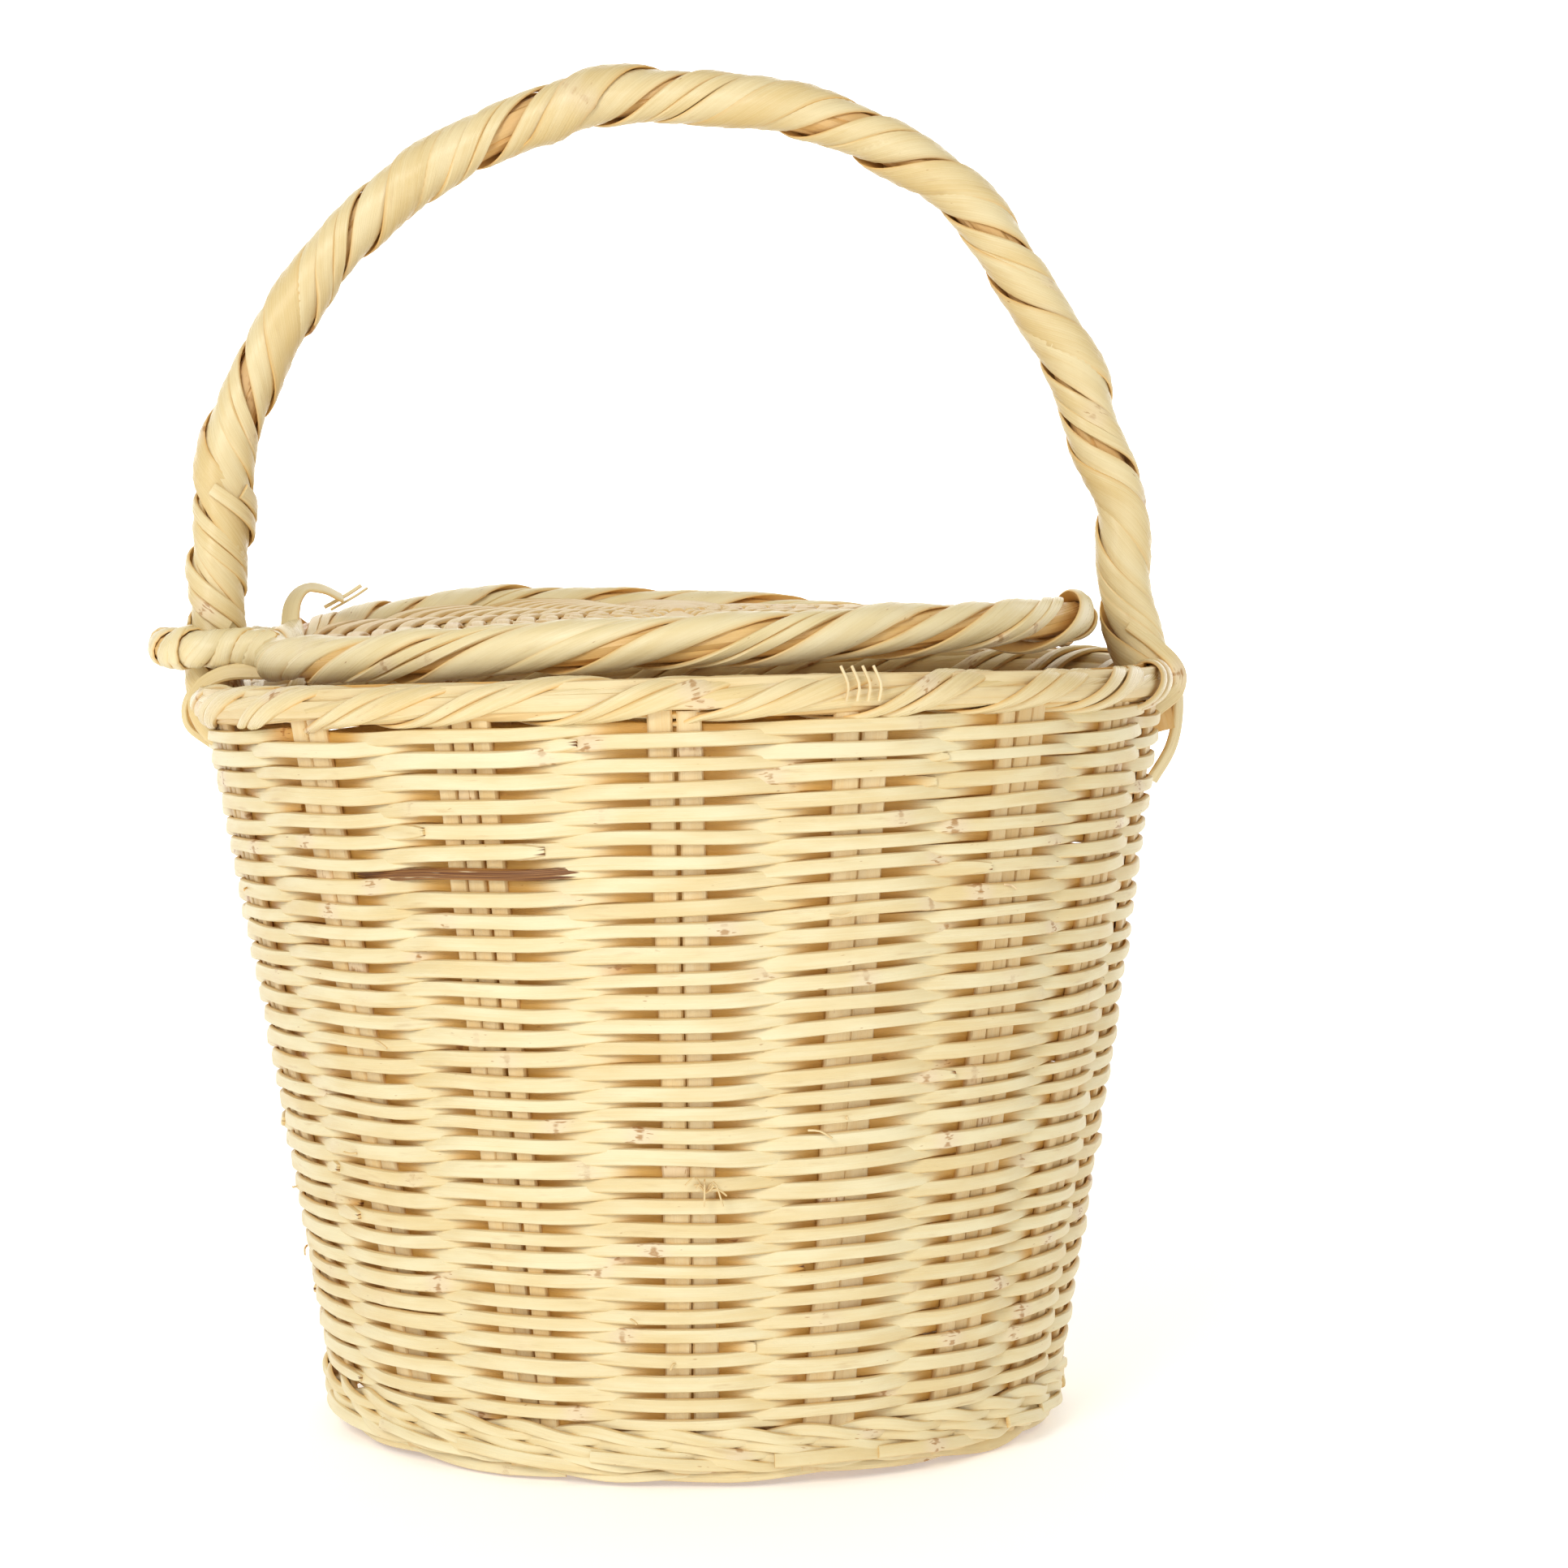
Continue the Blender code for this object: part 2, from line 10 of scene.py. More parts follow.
import bpy
import numpy as np
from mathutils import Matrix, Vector


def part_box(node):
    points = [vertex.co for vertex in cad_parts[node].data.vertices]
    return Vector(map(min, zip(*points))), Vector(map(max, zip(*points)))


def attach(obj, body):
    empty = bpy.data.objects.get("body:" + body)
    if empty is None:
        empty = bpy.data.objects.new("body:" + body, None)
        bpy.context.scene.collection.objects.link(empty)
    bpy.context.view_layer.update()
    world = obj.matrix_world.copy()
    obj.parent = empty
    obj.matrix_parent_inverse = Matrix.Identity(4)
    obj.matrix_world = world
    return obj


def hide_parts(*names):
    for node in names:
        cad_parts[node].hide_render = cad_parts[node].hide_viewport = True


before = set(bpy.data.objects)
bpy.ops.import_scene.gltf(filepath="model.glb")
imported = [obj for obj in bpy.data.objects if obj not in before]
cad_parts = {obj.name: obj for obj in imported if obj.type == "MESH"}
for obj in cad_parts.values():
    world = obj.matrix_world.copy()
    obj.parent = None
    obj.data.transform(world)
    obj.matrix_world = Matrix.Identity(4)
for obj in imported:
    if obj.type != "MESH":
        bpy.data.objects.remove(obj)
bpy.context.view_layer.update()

# The basket's upright axis passes through the middle of its foot.
foot_low, foot_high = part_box("foot_border")
base = (foot_low + foot_high) / 2

TAU = math.tau

# Wall: the radius of the weave's mid surface at the floor, how fast it grows with height, and how
# far its centre leans towards the lid's loop at the top.
WALL_FOOT_RADIUS = 0.1084
WALL_FLARE = 0.165
WALL_LEAN = -0.004
WALL_HEIGHT = 0.22

# Uprights: the angle of each group from the front, anticlockwise seen from above, in degrees.
SEEN_GROUPS = (-71, -47, -25, -0.5, 20, 41.6, 61, 79)
GROUP_COUNT = 17
STAKES_IN_GROUP = (2, 2, 3, 3, 3, 3, 2, 3)
STAKE_WIDTH = 0.0076
STAKE_THICKNESS = 0.0016
STAKE_STEPS = 56

# Weave: rows of flat cane, narrower apart than the cane is wide.
ROW_COUNT = 62
WEAVE_BOTTOM = 0.0160
WEAVE_TOP = 0.2140
STEPS_PER_GAP = 16
ROW_STEPS = GROUP_COUNT * STEPS_PER_GAP
WEFT_WIDTH = 0.0043
WEFT_THICKNESS = 0.0013
WEFT_SWING = 0.0021
FLOAT_RISE = 0.0004

# Cane: the distance between its nodes, and how long and how large the swelling at a node is.
INTERNODE = 0.20
NODE_LENGTH = 0.0022
NODE_SWELL = 0.10

# Bark streak: its height, and the group of uprights that it passes over.
STREAK_HEIGHT = 0.1745
STREAK_GROUP = SEEN_GROUPS[2]

# Rim and lid edge: bundles bound with winding strips.
RIM_HEIGHT = 0.2248
RIM_RADIUS = 0.1438
LID_RADIUS = 0.1235
LID_ROPE_HALF = 0.0056

# Round weave of the base and the lid.
SPOKE_COUNT = 16
BASE_WEAVE_HEIGHT = 0.0115

# Handle: its centreline seen from the front, from the left root over the top to the right root.
HANDLE_LINE = (
    (-0.1462, 0.2100),
    (-0.1466, 0.2320),
    (-0.1462, 0.2560),
    (-0.1440, 0.2790),
    (-0.1415, 0.3000),
    (-0.1335, 0.3205),
    (-0.1180, 0.3465),
    (-0.0975, 0.3690),
    (-0.0690, 0.3885),
    (-0.0370, 0.4010),
    (-0.0030, 0.4040),
    (0.0330, 0.3990),
    (0.0620, 0.3880),
    (0.0850, 0.3700),
    (0.1015, 0.3465),
    (0.1150, 0.3235),
    (0.1235, 0.2990),
    (0.1312, 0.2790),
    (0.1322, 0.2570),
    (0.1380, 0.2330),
    (0.1440, 0.2100),
)
HANDLE_RADIUS = 0.0069

# Camera: how far it stands in front of the basket's axis, and how it turns down and right.
CAMERA_DISTANCE = 1.19
CAMERA_HEIGHT = 0.260
CAMERA_PITCH = math.radians(3.2)
CAMERA_YAW = math.radians(1.32)
CAMERA_LENS = 88.7

# Cross-section of a strip: across in widths, out in thicknesses, and how much of the skin shows,
# which also sets the painted shade on its edges and back.
SECTION_ACROSS = np.array([-0.5, -0.5, -0.42, -0.2, 0.2, 0.42, 0.5, 0.5])
SECTION_OUT = np.array([-0.5, 0.05, 0.46, 0.5, 0.5, 0.46, 0.05, -0.5])
SECTION_SKIN = np.array([0.0, 0.6, 1.0, 1.0, 1.0, 1.0, 0.6, 0.0])
SHARP_ANGLE = math.radians(34)

# Points along a closed ring: their angles, from the right and anticlockwise seen from above, and
# the directions outwards there.
RING_ANGLES = np.arange(360) * TAU / 360
RING_OUT = np.column_stack([np.cos(RING_ANGLES), np.sin(RING_ANGLES), np.zeros(len(RING_ANGLES))])

# Colours for every kind of cane: hairline cracks, the pale halo and brown ring of a node,
# stains, dark and light bark, and the deep straw tint of painted shade in recesses.
CRACK = (0.42, 0.24, 0.08, 1.0)
NODE_HALO = (0.80, 0.66, 0.47, 1.0)
NODE_RING = (0.40, 0.19, 0.05, 1.0)
STAIN = (0.60, 0.42, 0.20, 1.0)
BARK = (0.12, 0.036, 0.008, 1.0)
BARK_LIGHT = (0.46, 0.22, 0.06, 1.0)
SHADE_TINT = (0.90, 0.60, 0.24, 1.0)

random = np.random.default_rng(11)


# ---------------------------------------------------------------- small helpers


def smoothstep(x):
    """Rises smoothly from 0 where x is 0 to 1 where x is 1."""
    x = np.clip(x, 0.0, 1.0)
    return x * x * (3 - 2 * x)


def drift(count, spacing):
    """A smooth random line of count values between -1 and 1, with a new value every spacing steps."""
    knots = random.uniform(-1, 1, int(count / spacing) + 4)
    place = np.arange(count) / spacing
    low = place.astype(int)
    share = smoothstep(place - low)
    return knots[low] * (1 - share) + knots[low + 1] * share


def unit(vectors):
    """The same directions with length 1."""
    return vectors / np.linalg.norm(vectors, axis=-1, keepdims=True)


def curve_through(points, spacing):
    """Points every spacing along a smooth curve through the given points."""
    knots = np.array(points, float)
    knots = np.vstack([2 * knots[0] - knots[1], knots, 2 * knots[-1] - knots[-2]])
    t = np.linspace(0, 1, 24, endpoint=False)[:, None]
    pieces = []
    for a, b, c, d in zip(knots, knots[1:], knots[2:], knots[3:], strict=False):
        cubic = 2 * b + (c - a) * t + (2 * a - 5 * b + 4 * c - d) * t**2
        pieces.append((cubic + (3 * b - a - 3 * c + d) * t**3) / 2)
    fine = np.vstack([*pieces, knots[-2][None]])
    length = np.concatenate([[0], np.cumsum(np.linalg.norm(np.diff(fine, axis=0), axis=1))])
    places = np.linspace(0, length[-1], max(int(length[-1] / spacing), 4) + 1)
    return np.column_stack([np.interp(places, length, fine[:, k]) for k in range(fine.shape[1])])


# ---------------------------------------------------------------- strips of cane


def section_directions(line, out, twist, closed):
    """The directions across and out at each point of line, square to it and turned by twist."""
    if closed:
        tangent = np.roll(line, -1, axis=0) - np.roll(line, 1, axis=0)
    else:
        tangent = np.gradient(line, axis=0)
    tangent = unit(tangent)
    across = unit(np.cross(out, tangent))
    out = np.cross(tangent, across)
    twist = np.broadcast_to(twist, (len(line),))[:, None]
    turned_across = across * np.cos(twist) + out * np.sin(twist)
    turned_out = out * np.cos(twist) - across * np.sin(twist)
    return turned_across, turned_out


class Canework:
    """Collects strips of cane into one mesh.

    Each point carries three attributes for the material. cane is its place along the cane in
    internodes, its place across in millimetres, and a seed. look is tone, skin and bark, and the
    last is its share of painted shade, which darkens cane that lies in shade.
    """

    def __init__(self):
        self.points = []
        self.canes = []
        self.looks = []
        self.painted_shades = []
        self.faces = []
        self.count = 0

    def strip(
        self,
        line,
        out,
        width,
        thickness,
        dome=0.0002,
        twist=0.0,
        tone=None,
        dark=0.0,
        warm=0.0,
        closed=False,
    ):
        """Sweeps a flat section along line. out is the direction that its skin faces at each point.

        dome is how far its middle stands proud of its edges, and twist turns it about its line.
        tone lightens or darkens the cane and dark turns it to bark. The last argument is its share of
        painted shade: a deep straw tint multiplied in where the cane lies in a recess or inside a
        bundle.
        """
        line = np.asarray(line, float)
        count = len(line)
        across, out = section_directions(line, np.broadcast_to(out, (count, 3)), twist, closed)
        steps = np.linalg.norm(np.diff(line, axis=0), axis=1)
        length = np.concatenate([[0], np.cumsum(steps)])
        growth = random.uniform(0, 50) + length / INTERNODE
        near_node = np.abs(growth - np.round(growth)) * INTERNODE
        swell = 1 + NODE_SWELL * np.exp(-((near_node / NODE_LENGTH) ** 2))
        width = np.broadcast_to(width, (count,)) * swell
        thickness = np.broadcast_to(thickness, (count,)) * (2 * swell - 1)
        dome = np.broadcast_to(dome, (count,))
        sideways = SECTION_ACROSS * width[:, None]
        outwards = SECTION_OUT * thickness[:, None]
        outwards = outwards + dome[:, None] * (1 - (2 * SECTION_ACROSS) ** 2)
        points = line[:, None] + sideways[..., None] * across[:, None]
        points = points + outwards[..., None] * out[:, None]

        around = len(SECTION_ACROSS)
        seed = random.uniform(0, 1)
        if tone is None:
            tone = random.normal(0, 0.35)
        cane = np.empty((count, around, 3))
        cane[..., 0] = growth[:, None]
        cane[..., 1] = SECTION_ACROSS * width[:, None] * 1000
        cane[..., 2] = seed * 97
        look = np.empty((count, around, 3))
        look[..., 0] = np.broadcast_to(tone, (count,))[:, None]
        look[..., 1] = SECTION_SKIN
        look[..., 2] = np.broadcast_to(dark, (count,))[:, None]
        self.points.append(points.reshape(-1, 3))
        self.canes.append(cane.reshape(-1, 3))
        self.looks.append(look.reshape(-1, 3))
        # Painted shade: the given share, and more on the strip's edges and back, where no skin shows.
        hidden = np.broadcast_to(warm, (count,))[:, None]
        hidden = hidden + (1 - hidden) * (1 - SECTION_SKIN) * 0.8
        self.painted_shades.append(hidden.ravel())
        self.join(count, closed)

    def join(self, count, closed):
        """Adds the faces between the last count sections, with a cap at each end of an open strip."""
        around = len(SECTION_ACROSS)
        rows = np.arange(count if closed else count - 1)
        following = (rows + 1) % count
        columns = np.arange(around)
        beside = (columns + 1) % around
        quads = np.stack(
            [
                rows[:, None] * around + columns,
                following[:, None] * around + columns,
                following[:, None] * around + beside,
                rows[:, None] * around + beside,
            ],
            axis=-1,
        )
        self.faces += (quads.reshape(-1, 4) + self.count).tolist()
        if not closed:
            self.faces.append(list(range(self.count, self.count + around)))
            last = self.count + (count - 1) * around
            self.faces.append(list(range(last + around - 1, last - 1, -1)))
        self.count += count * around

    def build(self, name, material, body, slot, replaced):
        """Makes the piece, which rides on body and stands for the replaced CAD nodes."""
        mesh = bpy.data.meshes.new(name)
        mesh.from_pydata(np.concatenate(self.points), [], self.faces)
        for label, values in (("cane", self.canes), ("look", self.looks)):
            attribute = mesh.attributes.new(label, "FLOAT_VECTOR", "POINT")
            attribute.data.foreach_set("vector", np.concatenate(values).astype(np.float32).ravel())
        painted_shade_data = mesh.attributes.new("warm", "FLOAT", "POINT")
        painted_shade_data.data.foreach_set("value", np.concatenate(self.painted_shades).astype(np.float32))
        mesh.materials.append(material)
        mesh.shade_smooth()
        mesh.set_sharp_from_angle(angle=SHARP_ANGLE)
        piece = bpy.data.objects.new(name, mesh)
        bpy.context.scene.collection.objects.link(piece)
        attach(piece, body)
        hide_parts(*replaced)


# ---------------------------------------------------------------- material


def cane_material(name, pale, deep, skin_roughness):
    """Split cane: long fibres, nodes, blotches and a skin that shines more than the pith.

    pale and deep are the two ends of its colours, and skin_roughness is for its outer skin.
    """
    material = bpy.data.materials.new(name)
    material.use_nodes = True
    nodes, links = material.node_tree.nodes, material.node_tree.links
    shader = nodes["Principled BSDF"]

    def node(kind, **settings):
        made = nodes.new(kind)
        for key, value in settings.items():
            setattr(made, key, value)
        return made

    def plug(source, target):
        links.new(source, target)

    def math_node(operation, *values):
        made = node("ShaderNodeMath", operation=operation)
        for place, value in enumerate(values):
            if isinstance(value, (int, float)):
                made.inputs[place].default_value = value
            else:
                plug(value, made.inputs[place])
        return made.outputs[0]

    def ranged(value, low, high):
        """Goes smoothly from 0 where value is low to 1 where it is high."""
        made = node("ShaderNodeMapRange", interpolation_type="SMOOTHSTEP")
        plug(value, made.inputs["Value"])
        made.inputs["From Min"].default_value = low
        made.inputs["From Max"].default_value = high
        return made.outputs[0]

    def noise(along, across, seeds, detail=2.0):
        """Noise with its own scale along and across the cane, and its own share of the seed."""
        joined = node("ShaderNodeCombineXYZ")
        plug(math_node("MULTIPLY", growth, along), joined.inputs[0])
        plug(math_node("MULTIPLY", side, across), joined.inputs[1])
        plug(math_node("MULTIPLY", seed, seeds), joined.inputs[2])
        made = node("ShaderNodeTexNoise")
        made.inputs["Scale"].default_value = 1.0
        made.inputs["Detail"].default_value = detail
        plug(joined.outputs[0], made.inputs["Vector"])
        return made.outputs["Fac"]

    def mixed(share, first, second, blend="MIX"):
        made = node("ShaderNodeMix", data_type="RGBA", blend_type=blend)
        for place, value in (("Factor", share), ("A", first), ("B", second)):
            socket = next(s for s in made.inputs if s.name == place and s.enabled)
            if isinstance(value, (tuple, float)):
                socket.default_value = value
            else:
                plug(value, socket)
        return next(s for s in made.outputs if s.enabled)

    cane = node("ShaderNodeSeparateXYZ")
    plug(node("ShaderNodeAttribute", attribute_name="cane").outputs["Vector"], cane.inputs[0])
    growth, side, seed = cane.outputs
    look = node("ShaderNodeSeparateXYZ")
    plug(node("ShaderNodeAttribute", attribute_name="look").outputs["Vector"], look.inputs[0])
    tone, skin, bark = look.outputs

    # Lighter and darker canes, with long fibres and blotches.
    fibres = noise(along=2.2, across=3.4, seeds=1.0, detail=3.0)
    threads = noise(along=5.0, across=9.0, seeds=1.7)
    blotches = noise(along=9.0, across=0.25, seeds=2.3, detail=3.0)
    grain = math_node("SUBTRACT", fibres, 0.5)
    shade = math_node("ADD", math_node("MULTIPLY", tone, 0.22), blotches)
    shade = math_node("ADD", shade, math_node("MULTIPLY", grain, 0.5))
    colour = mixed(ranged(shade, 0.15, 0.85), deep, pale)

    # Hairline cracks along the threads.
    whole = ranged(math_node("ABSOLUTE", math_node("SUBTRACT", threads, 0.5)), 0.0, 0.02)
    whole = math_node("MAXIMUM", whole, ranged(fibres, 0.62, 0.56))
    cracks = math_node("MULTIPLY", math_node("SUBTRACT", 1.0, whole), 0.35)
    colour = mixed(cracks, colour, CRACK)

    # Nodes: each has its own chance of a ring, which is broken round the cane.
    fraction = math_node("SUBTRACT", growth, math_node("ROUND", growth))
    distance = math_node("MULTIPLY", math_node("ABSOLUTE", fraction), INTERNODE)
    waves = noise(along=25.0, across=0.7, seeds=3.1)
    wobble = math_node("MULTIPLY", math_node("SUBTRACT", waves, 0.5), 0.0030)
    distance = math_node("ADD", distance, wobble)
    chance = node("ShaderNodeTexWhiteNoise", noise_dimensions="2D")
    place = node("ShaderNodeCombineXYZ")
    plug(math_node("ROUND", growth), place.inputs[0])
    plug(math_node("MULTIPLY", seed, 3.7), place.inputs[1])
    plug(place.outputs[0], chance.inputs["Vector"])
    strength = ranged(chance.outputs["Value"], 0.1, 0.8)
    broken = ranged(noise(along=3.0, across=0.5, seeds=7.7), 0.42, 0.58)
    ring = math_node("MULTIPLY", ranged(distance, 0.0012, 0.0003), strength)
    ring = math_node("MULTIPLY", ring, broken)
    halo = math_node("MULTIPLY", ranged(distance, 0.0070, 0.0008), math_node("ADD", strength, 0.25))
    colour = mixed(math_node("MULTIPLY", halo, 0.55), colour, NODE_HALO)
    colour = mixed(math_node("MULTIPLY", ring, 0.8), colour, NODE_RING)

    # Brown specks, most of them beside the nodes, and faint stains.
    dots = noise(along=60.0, across=1.4, seeds=4.3, detail=1.0)
    specks = ranged(math_node("ADD", dots, math_node("MULTIPLY", halo, 0.14)), 0.76, 0.84)
    colour = mixed(math_node("MULTIPLY", specks, 0.75), colour, NODE_RING)
    grime = ranged(noise(along=14.0, across=0.5, seeds=6.1, detail=4.0), 0.60, 0.80)
    colour = mixed(math_node("MULTIPLY", grime, 0.5), colour, STAIN)

    # Painted shade: a deep straw tint multiplied in where cane lies in recesses and inside
    # bundles. Then bark.
    painted_shade_data = node("ShaderNodeAttribute", attribute_name="warm").outputs["Fac"]
    colour = mixed(painted_shade_data, colour, SHADE_TINT, "MULTIPLY")
    patches = noise(along=12.0, across=1.6, seeds=5.2, detail=3.0)
    barkiness = math_node("ADD", math_node("MULTIPLY", bark, 0.7), patches)
    bark_colour = mixed(ranged(threads, 0.45, 0.65), BARK, BARK_LIGHT)
    colour = mixed(ranged(barkiness, 0.95, 1.10), colour, bark_colour)
    plug(colour, shader.inputs["Base Color"])

    # The pith is dull and the skin shines, with the fibres standing out in both.
    pith_roughness = 0.74
    smoother = math_node("MULTIPLY", skin, pith_roughness - skin_roughness)
    rough = math_node("SUBTRACT", pith_roughness, smoother)
    rough = math_node("ADD", rough, math_node("MULTIPLY", grain, 0.25))
    plug(rough, shader.inputs["Roughness"])
    shader.inputs["Specular IOR Level"].default_value = 0.4

    bump = node("ShaderNodeBump")
    bump.inputs["Strength"].default_value = 0.35
    bump.inputs["Distance"].default_value = 0.0004
    height = math_node("ADD", fibres, math_node("MULTIPLY", threads, 0.5))
    height = math_node("ADD", height, math_node("MULTIPLY", halo, 0.8))
    plug(height, bump.inputs["Height"])
    plug(bump.outputs[0], shader.inputs["Normal"])
    return material


# ---------------------------------------------------------------- wall


def wall_radius(z):
    """The radius of the weave's mid surface at height z."""
    return WALL_FOOT_RADIUS + WALL_FLARE * z


def level_shift(angle, z):
    """How far the weave stands above its even level: it climbs to the right and dips at the legs."""
    across = np.cos(angle)
    return smoothstep(z / 0.12) * (-0.0004 + 0.0033 * across - 0.0026 * across**2)


def wall_points(angle, z, offset):
    """Points beside the wall's mid surface, and the wall's outward direction there."""
    angle, z, offset = np.broadcast_arrays(angle, z, offset)
    radius = wall_radius(z) + offset
    lean = WALL_LEAN * (np.clip(z, 0, None) / WALL_HEIGHT) ** 2
    points = np.stack(
        [base.x + lean + radius * np.cos(angle), base.y + radius * np.sin(angle), z], axis=-1
    )
    out = np.stack([np.cos(angle), np.sin(angle), np.full(angle.shape, -WALL_FLARE)], axis=-1)
    return points, unit(out)


def group_angles():
    """The angle of each group of uprights, in turn round the basket from the back."""
    seen = list(SEEN_GROUPS)
    hidden = GROUP_COUNT - len(seen)
    span = (360 + seen[0] - seen[-1]) / (hidden + 1)
    behind = [seen[-1] + (k + 1) * span for k in range(hidden)]
    left = [degrees - 360 for degrees in behind if degrees > 180]
    right = [degrees for degrees in behind if degrees <= 180]
    return np.radians(np.array(left + seen + right) - 90)


def make_stakes(work):
    """Flat uprights side by side in groups: two broad ones or three narrower ones."""
    for index, angle in enumerate(groups):
        count = STAKES_IN_GROUP[index % len(STAKES_IN_GROUP)]
        mean_width = STAKE_WIDTH * (1.04 if count == 2 else 0.78)
        z = np.linspace(0.004, 0.222 + level_shift(angle, WALL_HEIGHT), STAKE_STEPS)
        top_share = z / WALL_HEIGHT
        for k in range(count):
            place = k - (count - 1) / 2
            spread = mean_width * (0.90 + 0.14 * top_share)
            sideways = place * spread + 0.0006 * drift(STAKE_STEPS, 14)
            behind = -0.0007 * (1 - top_share) * (k % 2) - 0.0002
            line, out = wall_points(angle + sideways / wall_radius(z), z, behind)
            width = mean_width * random.uniform(0.92, 1.04)
            width = width * (0.97 + 0.06 * drift(STAKE_STEPS, 9))
            twist = 0.10 * drift(STAKE_STEPS, 20)
            tone = random.normal(-0.1, 0.3)
            # A little painted shade on every upright.
            work.strip(line, out, width, STAKE_THICKNESS, 0.0003, twist, tone, warm=0.1)


def row_widths():
    """The width of every row of cane at every step round the wall, from slow and quick changes."""
    total = ROW_COUNT * ROW_STEPS
    slow = drift(total, ROW_STEPS * 0.9)
    quick = drift(total, STEPS_PER_GAP * 1.6)
    width = WEFT_WIDTH * (1 + 0.17 * slow + 0.10 * quick)
    return width.reshape(ROW_COUNT, ROW_STEPS)


def make_weave(works):
    """One spiral of cane, cut into lengths that overlap where a new cane takes over.

    side is 1 where the cane passes outside a group of uprights and -1 where it passes inside.
    """
    # Each row lies on the one below, so its height comes from the widths of both.
    widths = row_widths()
    pitch = (widths + np.roll(widths, 1, axis=0)) / 2
    pitch[0] = widths[0]
    woven_height = WEAVE_TOP - WEAVE_BOTTOM
    height = np.cumsum(pitch, axis=0) - pitch[0] / 2
    height = height * woven_height / (height[-1] - height[0])
    slope = np.linspace(0, 1, ROW_STEPS, endpoint=False) * woven_height / ROW_COUNT
    z = (WEAVE_BOTTOM + height + slope).ravel()
    total = len(z)

    # share goes from 0 at one group of uprights to 1 at the next, while the cane changes sides.
    share = np.tile(np.arange(STEPS_PER_GAP) / STEPS_PER_GAP, ROW_COUNT * GROUP_COUNT)
    gap = np.repeat(np.arange(ROW_COUNT * GROUP_COUNT), STEPS_PER_GAP)
    gap_start = groups[gap % GROUP_COUNT]
    gap_span = (np.append(groups[1:], groups[0] + TAU) - groups)[gap % GROUP_COUNT]
    angle = gap_start + gap_span * share
    eased = np.clip((share - 0.10) / 0.80, 0, 1)
    side = np.cos(math.pi * eased) * np.where(gap % 2 == 0, 1, -1)
    stair = gap_start + gap_span * smoothstep((share - 0.2) / 0.6)
    z = z + level_shift(stair, z) + 0.0005 * drift(total, STEPS_PER_GAP * 0.7)
    z = z + FLOAT_RISE * np.sin(math.pi * (gap + share)) * z / WALL_HEIGHT
    offset = WEFT_SWING * side * (1 + 0.15 * drift(total, STEPS_PER_GAP))
    offset = offset + 0.0002 * drift(total, 5)
    twist = 0.12 * drift(total, STEPS_PER_GAP * 1.3) - 0.04 - 0.34 * (1 - side**2)
    width = widths.ravel() * (1 - 0.10 * smoothstep((np.cos(angle) - 0.2) / 0.6))
    # Painted shade where the cane passes inside, behind the uprights.
    hidden = smoothstep((-side - 0.2) / 0.7)
    streak = bark_streak(z, angle, side)
    width = width * (1 - 0.30 * streak)

    # Each length starts tucked behind the end of the last, and its own end is thin and frayed.
    start = 0
    while start < total - 1:
        length = int(random.uniform(0.5, 2.0) * ROW_STEPS)
        end = total if total - start - length < ROW_STEPS // 2 else start + length
        begin = max(start - STEPS_PER_GAP, 0)
        part = slice(begin, end)
        steps = np.arange(end - begin)
        tuck = -0.0014 * (1 - smoothstep(steps / STEPS_PER_GAP)) * (begin > 0)
        lift = 0.0011 * smoothstep(1 - (len(steps) - 1 - steps) / 5) * (end < total)
        narrow = np.ones(len(steps))
        narrow[-3:] *= (0.95, 0.8, 0.5)
        line, out = wall_points(angle[part], z[part], offset[part] + tuck + lift)
        dark = streak[part].copy()
        dark[-2:] = np.maximum(dark[-2:], (0.3, 0.7))
        tone = random.normal(0, 0.32) + 0.25 * drift(len(steps), STEPS_PER_GAP * 3)
        share_up = np.clip((z[part].mean() - WEAVE_BOTTOM) / woven_height, 0, 0.999)
        works[int(share_up * len(works))].strip(
            line,
            out,
            width[part] * narrow,
            WEFT_THICKNESS,
            dome=0.00022,
            twist=twist[part],
            tone=tone,
            dark=dark,
            warm=hidden[part],
        )
        start = end


def bark_streak(z, angle, side):
    """Bark left on the row that passes over the third group from the left, high on the front."""
    seen = np.degrees((angle + math.pi / 2 + math.pi) % TAU - math.pi)
    over = (np.abs(seen - STREAK_GROUP) < 3) & (side > 0.9)
    nearest = np.argmin(np.where(over, np.abs(z - STREAK_HEIGHT), 1.0))
    same_row = np.abs(np.arange(len(z)) - nearest) < 3 * STEPS_PER_GAP
    faded = smoothstep((seen + 48) / 7) * smoothstep((-8 - seen) / 7)
    return np.where(same_row, faded, 0.0)


# ---------------------------------------------------------------- bundles bound with strips


